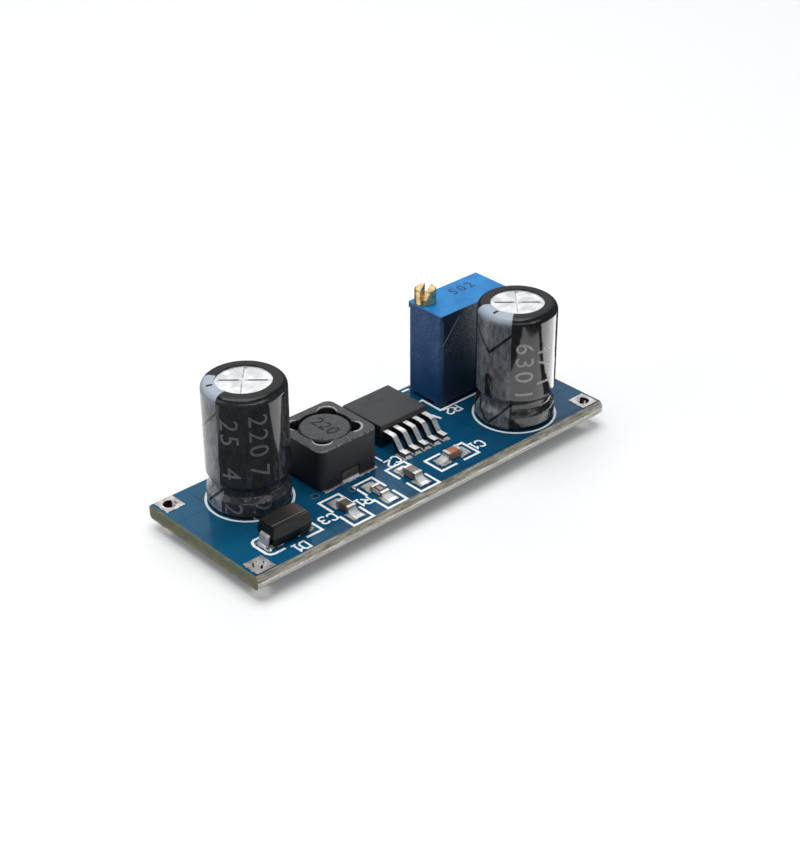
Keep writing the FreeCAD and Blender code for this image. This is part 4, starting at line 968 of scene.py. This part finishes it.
def gathers(angle, level, crimp):
    # how far the shrunk film is drawn in: waves round the can, fading away from the crimp
    waves = 0.5 + 0.3 * np.sin(9 * angle + 2 * np.sin(2 * angle)) + 0.2 * np.sin(17 * angle + 1.3)
    return sleeves["gather"] * waves * np.exp(-((level - crimp) / sleeves["gatherReach"]) ** 2)


def sleeveOutline(top, foot, crimp, inset):
    wall, dip = sleeves["radius"] - inset, sleeves["radius"] - inset - sleeves["crimpDepth"]
    half, flat = sleeves["crimpHalf"] + inset, sleeves["crimpFlat"] + inset
    return [(sleeves["window"], top - inset, 0), (wall, top - inset, sleeves["shoulder"] - inset),
            (wall, crimp + half, 0.5), (dip, crimp + flat, 0.5),
            (dip, crimp - flat, 0.5), (wall, crimp - half, 0.5),
            (wall, foot + sleeves["footRise"], 0.2), (wall - sleeves["footTaper"], foot + inset, 0.12),
            (sleeves["window"], foot + inset, 0)]


def sleeveShape(x, y, top, foot, crimp):
    # closed section of the film: outer line, then the inner line one thickness inside it
    outer = sleeveOutline(top, foot, crimp, 0.0)
    inner = sleeveOutline(top, foot, crimp, sleeves["thickness"])
    profile = rounded(outer + inner[::-1], sleeves["arcSteps"])
    angle = np.linspace(0, 2 * math.pi, 160, endpoint=False)[:, None]
    level = profile[None, :, 1] + 0 * angle
    radius = profile[None, :, 0] - gathers(angle, level, crimp)
    return skin(np.stack([x + radius * np.cos(angle), y + radius * np.sin(angle), level], -1), True, True)


def wallRadius(angle, level, top, foot, crimp):  # outside of the film at a height
    line = rounded(sleeveOutline(top, foot, crimp, 0.0), sleeves["arcSteps"])
    line = line[(line[:, 1] > foot + 0.5) & (line[:, 1] < top - 1.0)]
    line = line[np.argsort(line[:, 1])]
    return np.interp(level, line[:, 1], line[:, 0]) - gathers(angle, level, crimp)


def sleevePrint(x, y, top, foot, crimp, own):
    # characters bent round the wall, read downwards, their tops towards growing angle
    shapes = []
    for turn, start, words in own["columns"]:
        points, faces = meshShape(letters(words, sleeves["digit"], 0.012, 0.0, 1.2), 0.25, 1)
        angle = math.radians(turn) + points[:, 1] / sleeves["radius"]
        level = top - (points[:, 0] - points[:, 0].min() + start + sleeves["shoulder"])
        radius = wallRadius(angle, level, top, foot, crimp) + sleeves["printLift"] + points[:, 2]
        bent = np.column_stack([x + radius * np.cos(angle), y + radius * np.sin(angle), level])
        shapes.append((bent, faces))
    return gather(shapes)


for name in ("output_capacitor", "input_capacitor"):
    low, high = (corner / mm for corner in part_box(name + "_sleeve"))
    x, y = (low.x + high.x) / 2, (low.y + high.y) / 2
    own, crimp = sleeves[name], boardTop + sleeves["crimpHeight"]
    film = sleeveFinish(name + "_film", (x, y), high.z, low.z, own)
    piece(name + "_film", sleeveShape(x, y, high.z, low.z, crimp), "module", film, 50.0,
          (name + "_sleeve",))
    tone = np.array(own["print"])
    printInk = plasticFinish(name + "_ink", tone, tone * 0.75, 0.4, 0.004)
    piece(name + "_print", sleevePrint(x, y, high.z, low.z, crimp, own), "module", printInk,
          30.0)
print("sleeves made")


# Floor

floorHalf = 1.6               # half of its side, in metres
floorDrop = 0.00002           # metres that it lies below the module
floor = bpy.data.meshes.new("floor")
corners = np.array([(-1, -1, 0), (1, -1, 0), (1, 1, 0), (-1, 1, 0)], float) * (floorHalf, floorHalf, 0)
floor.from_pydata((corners - (0, 0, floorDrop)).tolist(), [], [[0, 1, 2, 3]])
floorPaint = plasticFinish("floorFinish", (240, 240, 240), (238, 238, 238), 0.7, 0.0,
                           Emission_Color=(1.0, 0.96, 0.92, 1.0), Emission_Strength=0.1)
floor.materials.append(floorPaint.material)
ground = bpy.data.objects.new("floor", floor)
bpy.context.scene.collection.objects.link(ground)
# the module mirrors the dark studio below it, not this floor
ground.visible_diffuse = ground.visible_glossy = ground.visible_shadow = False
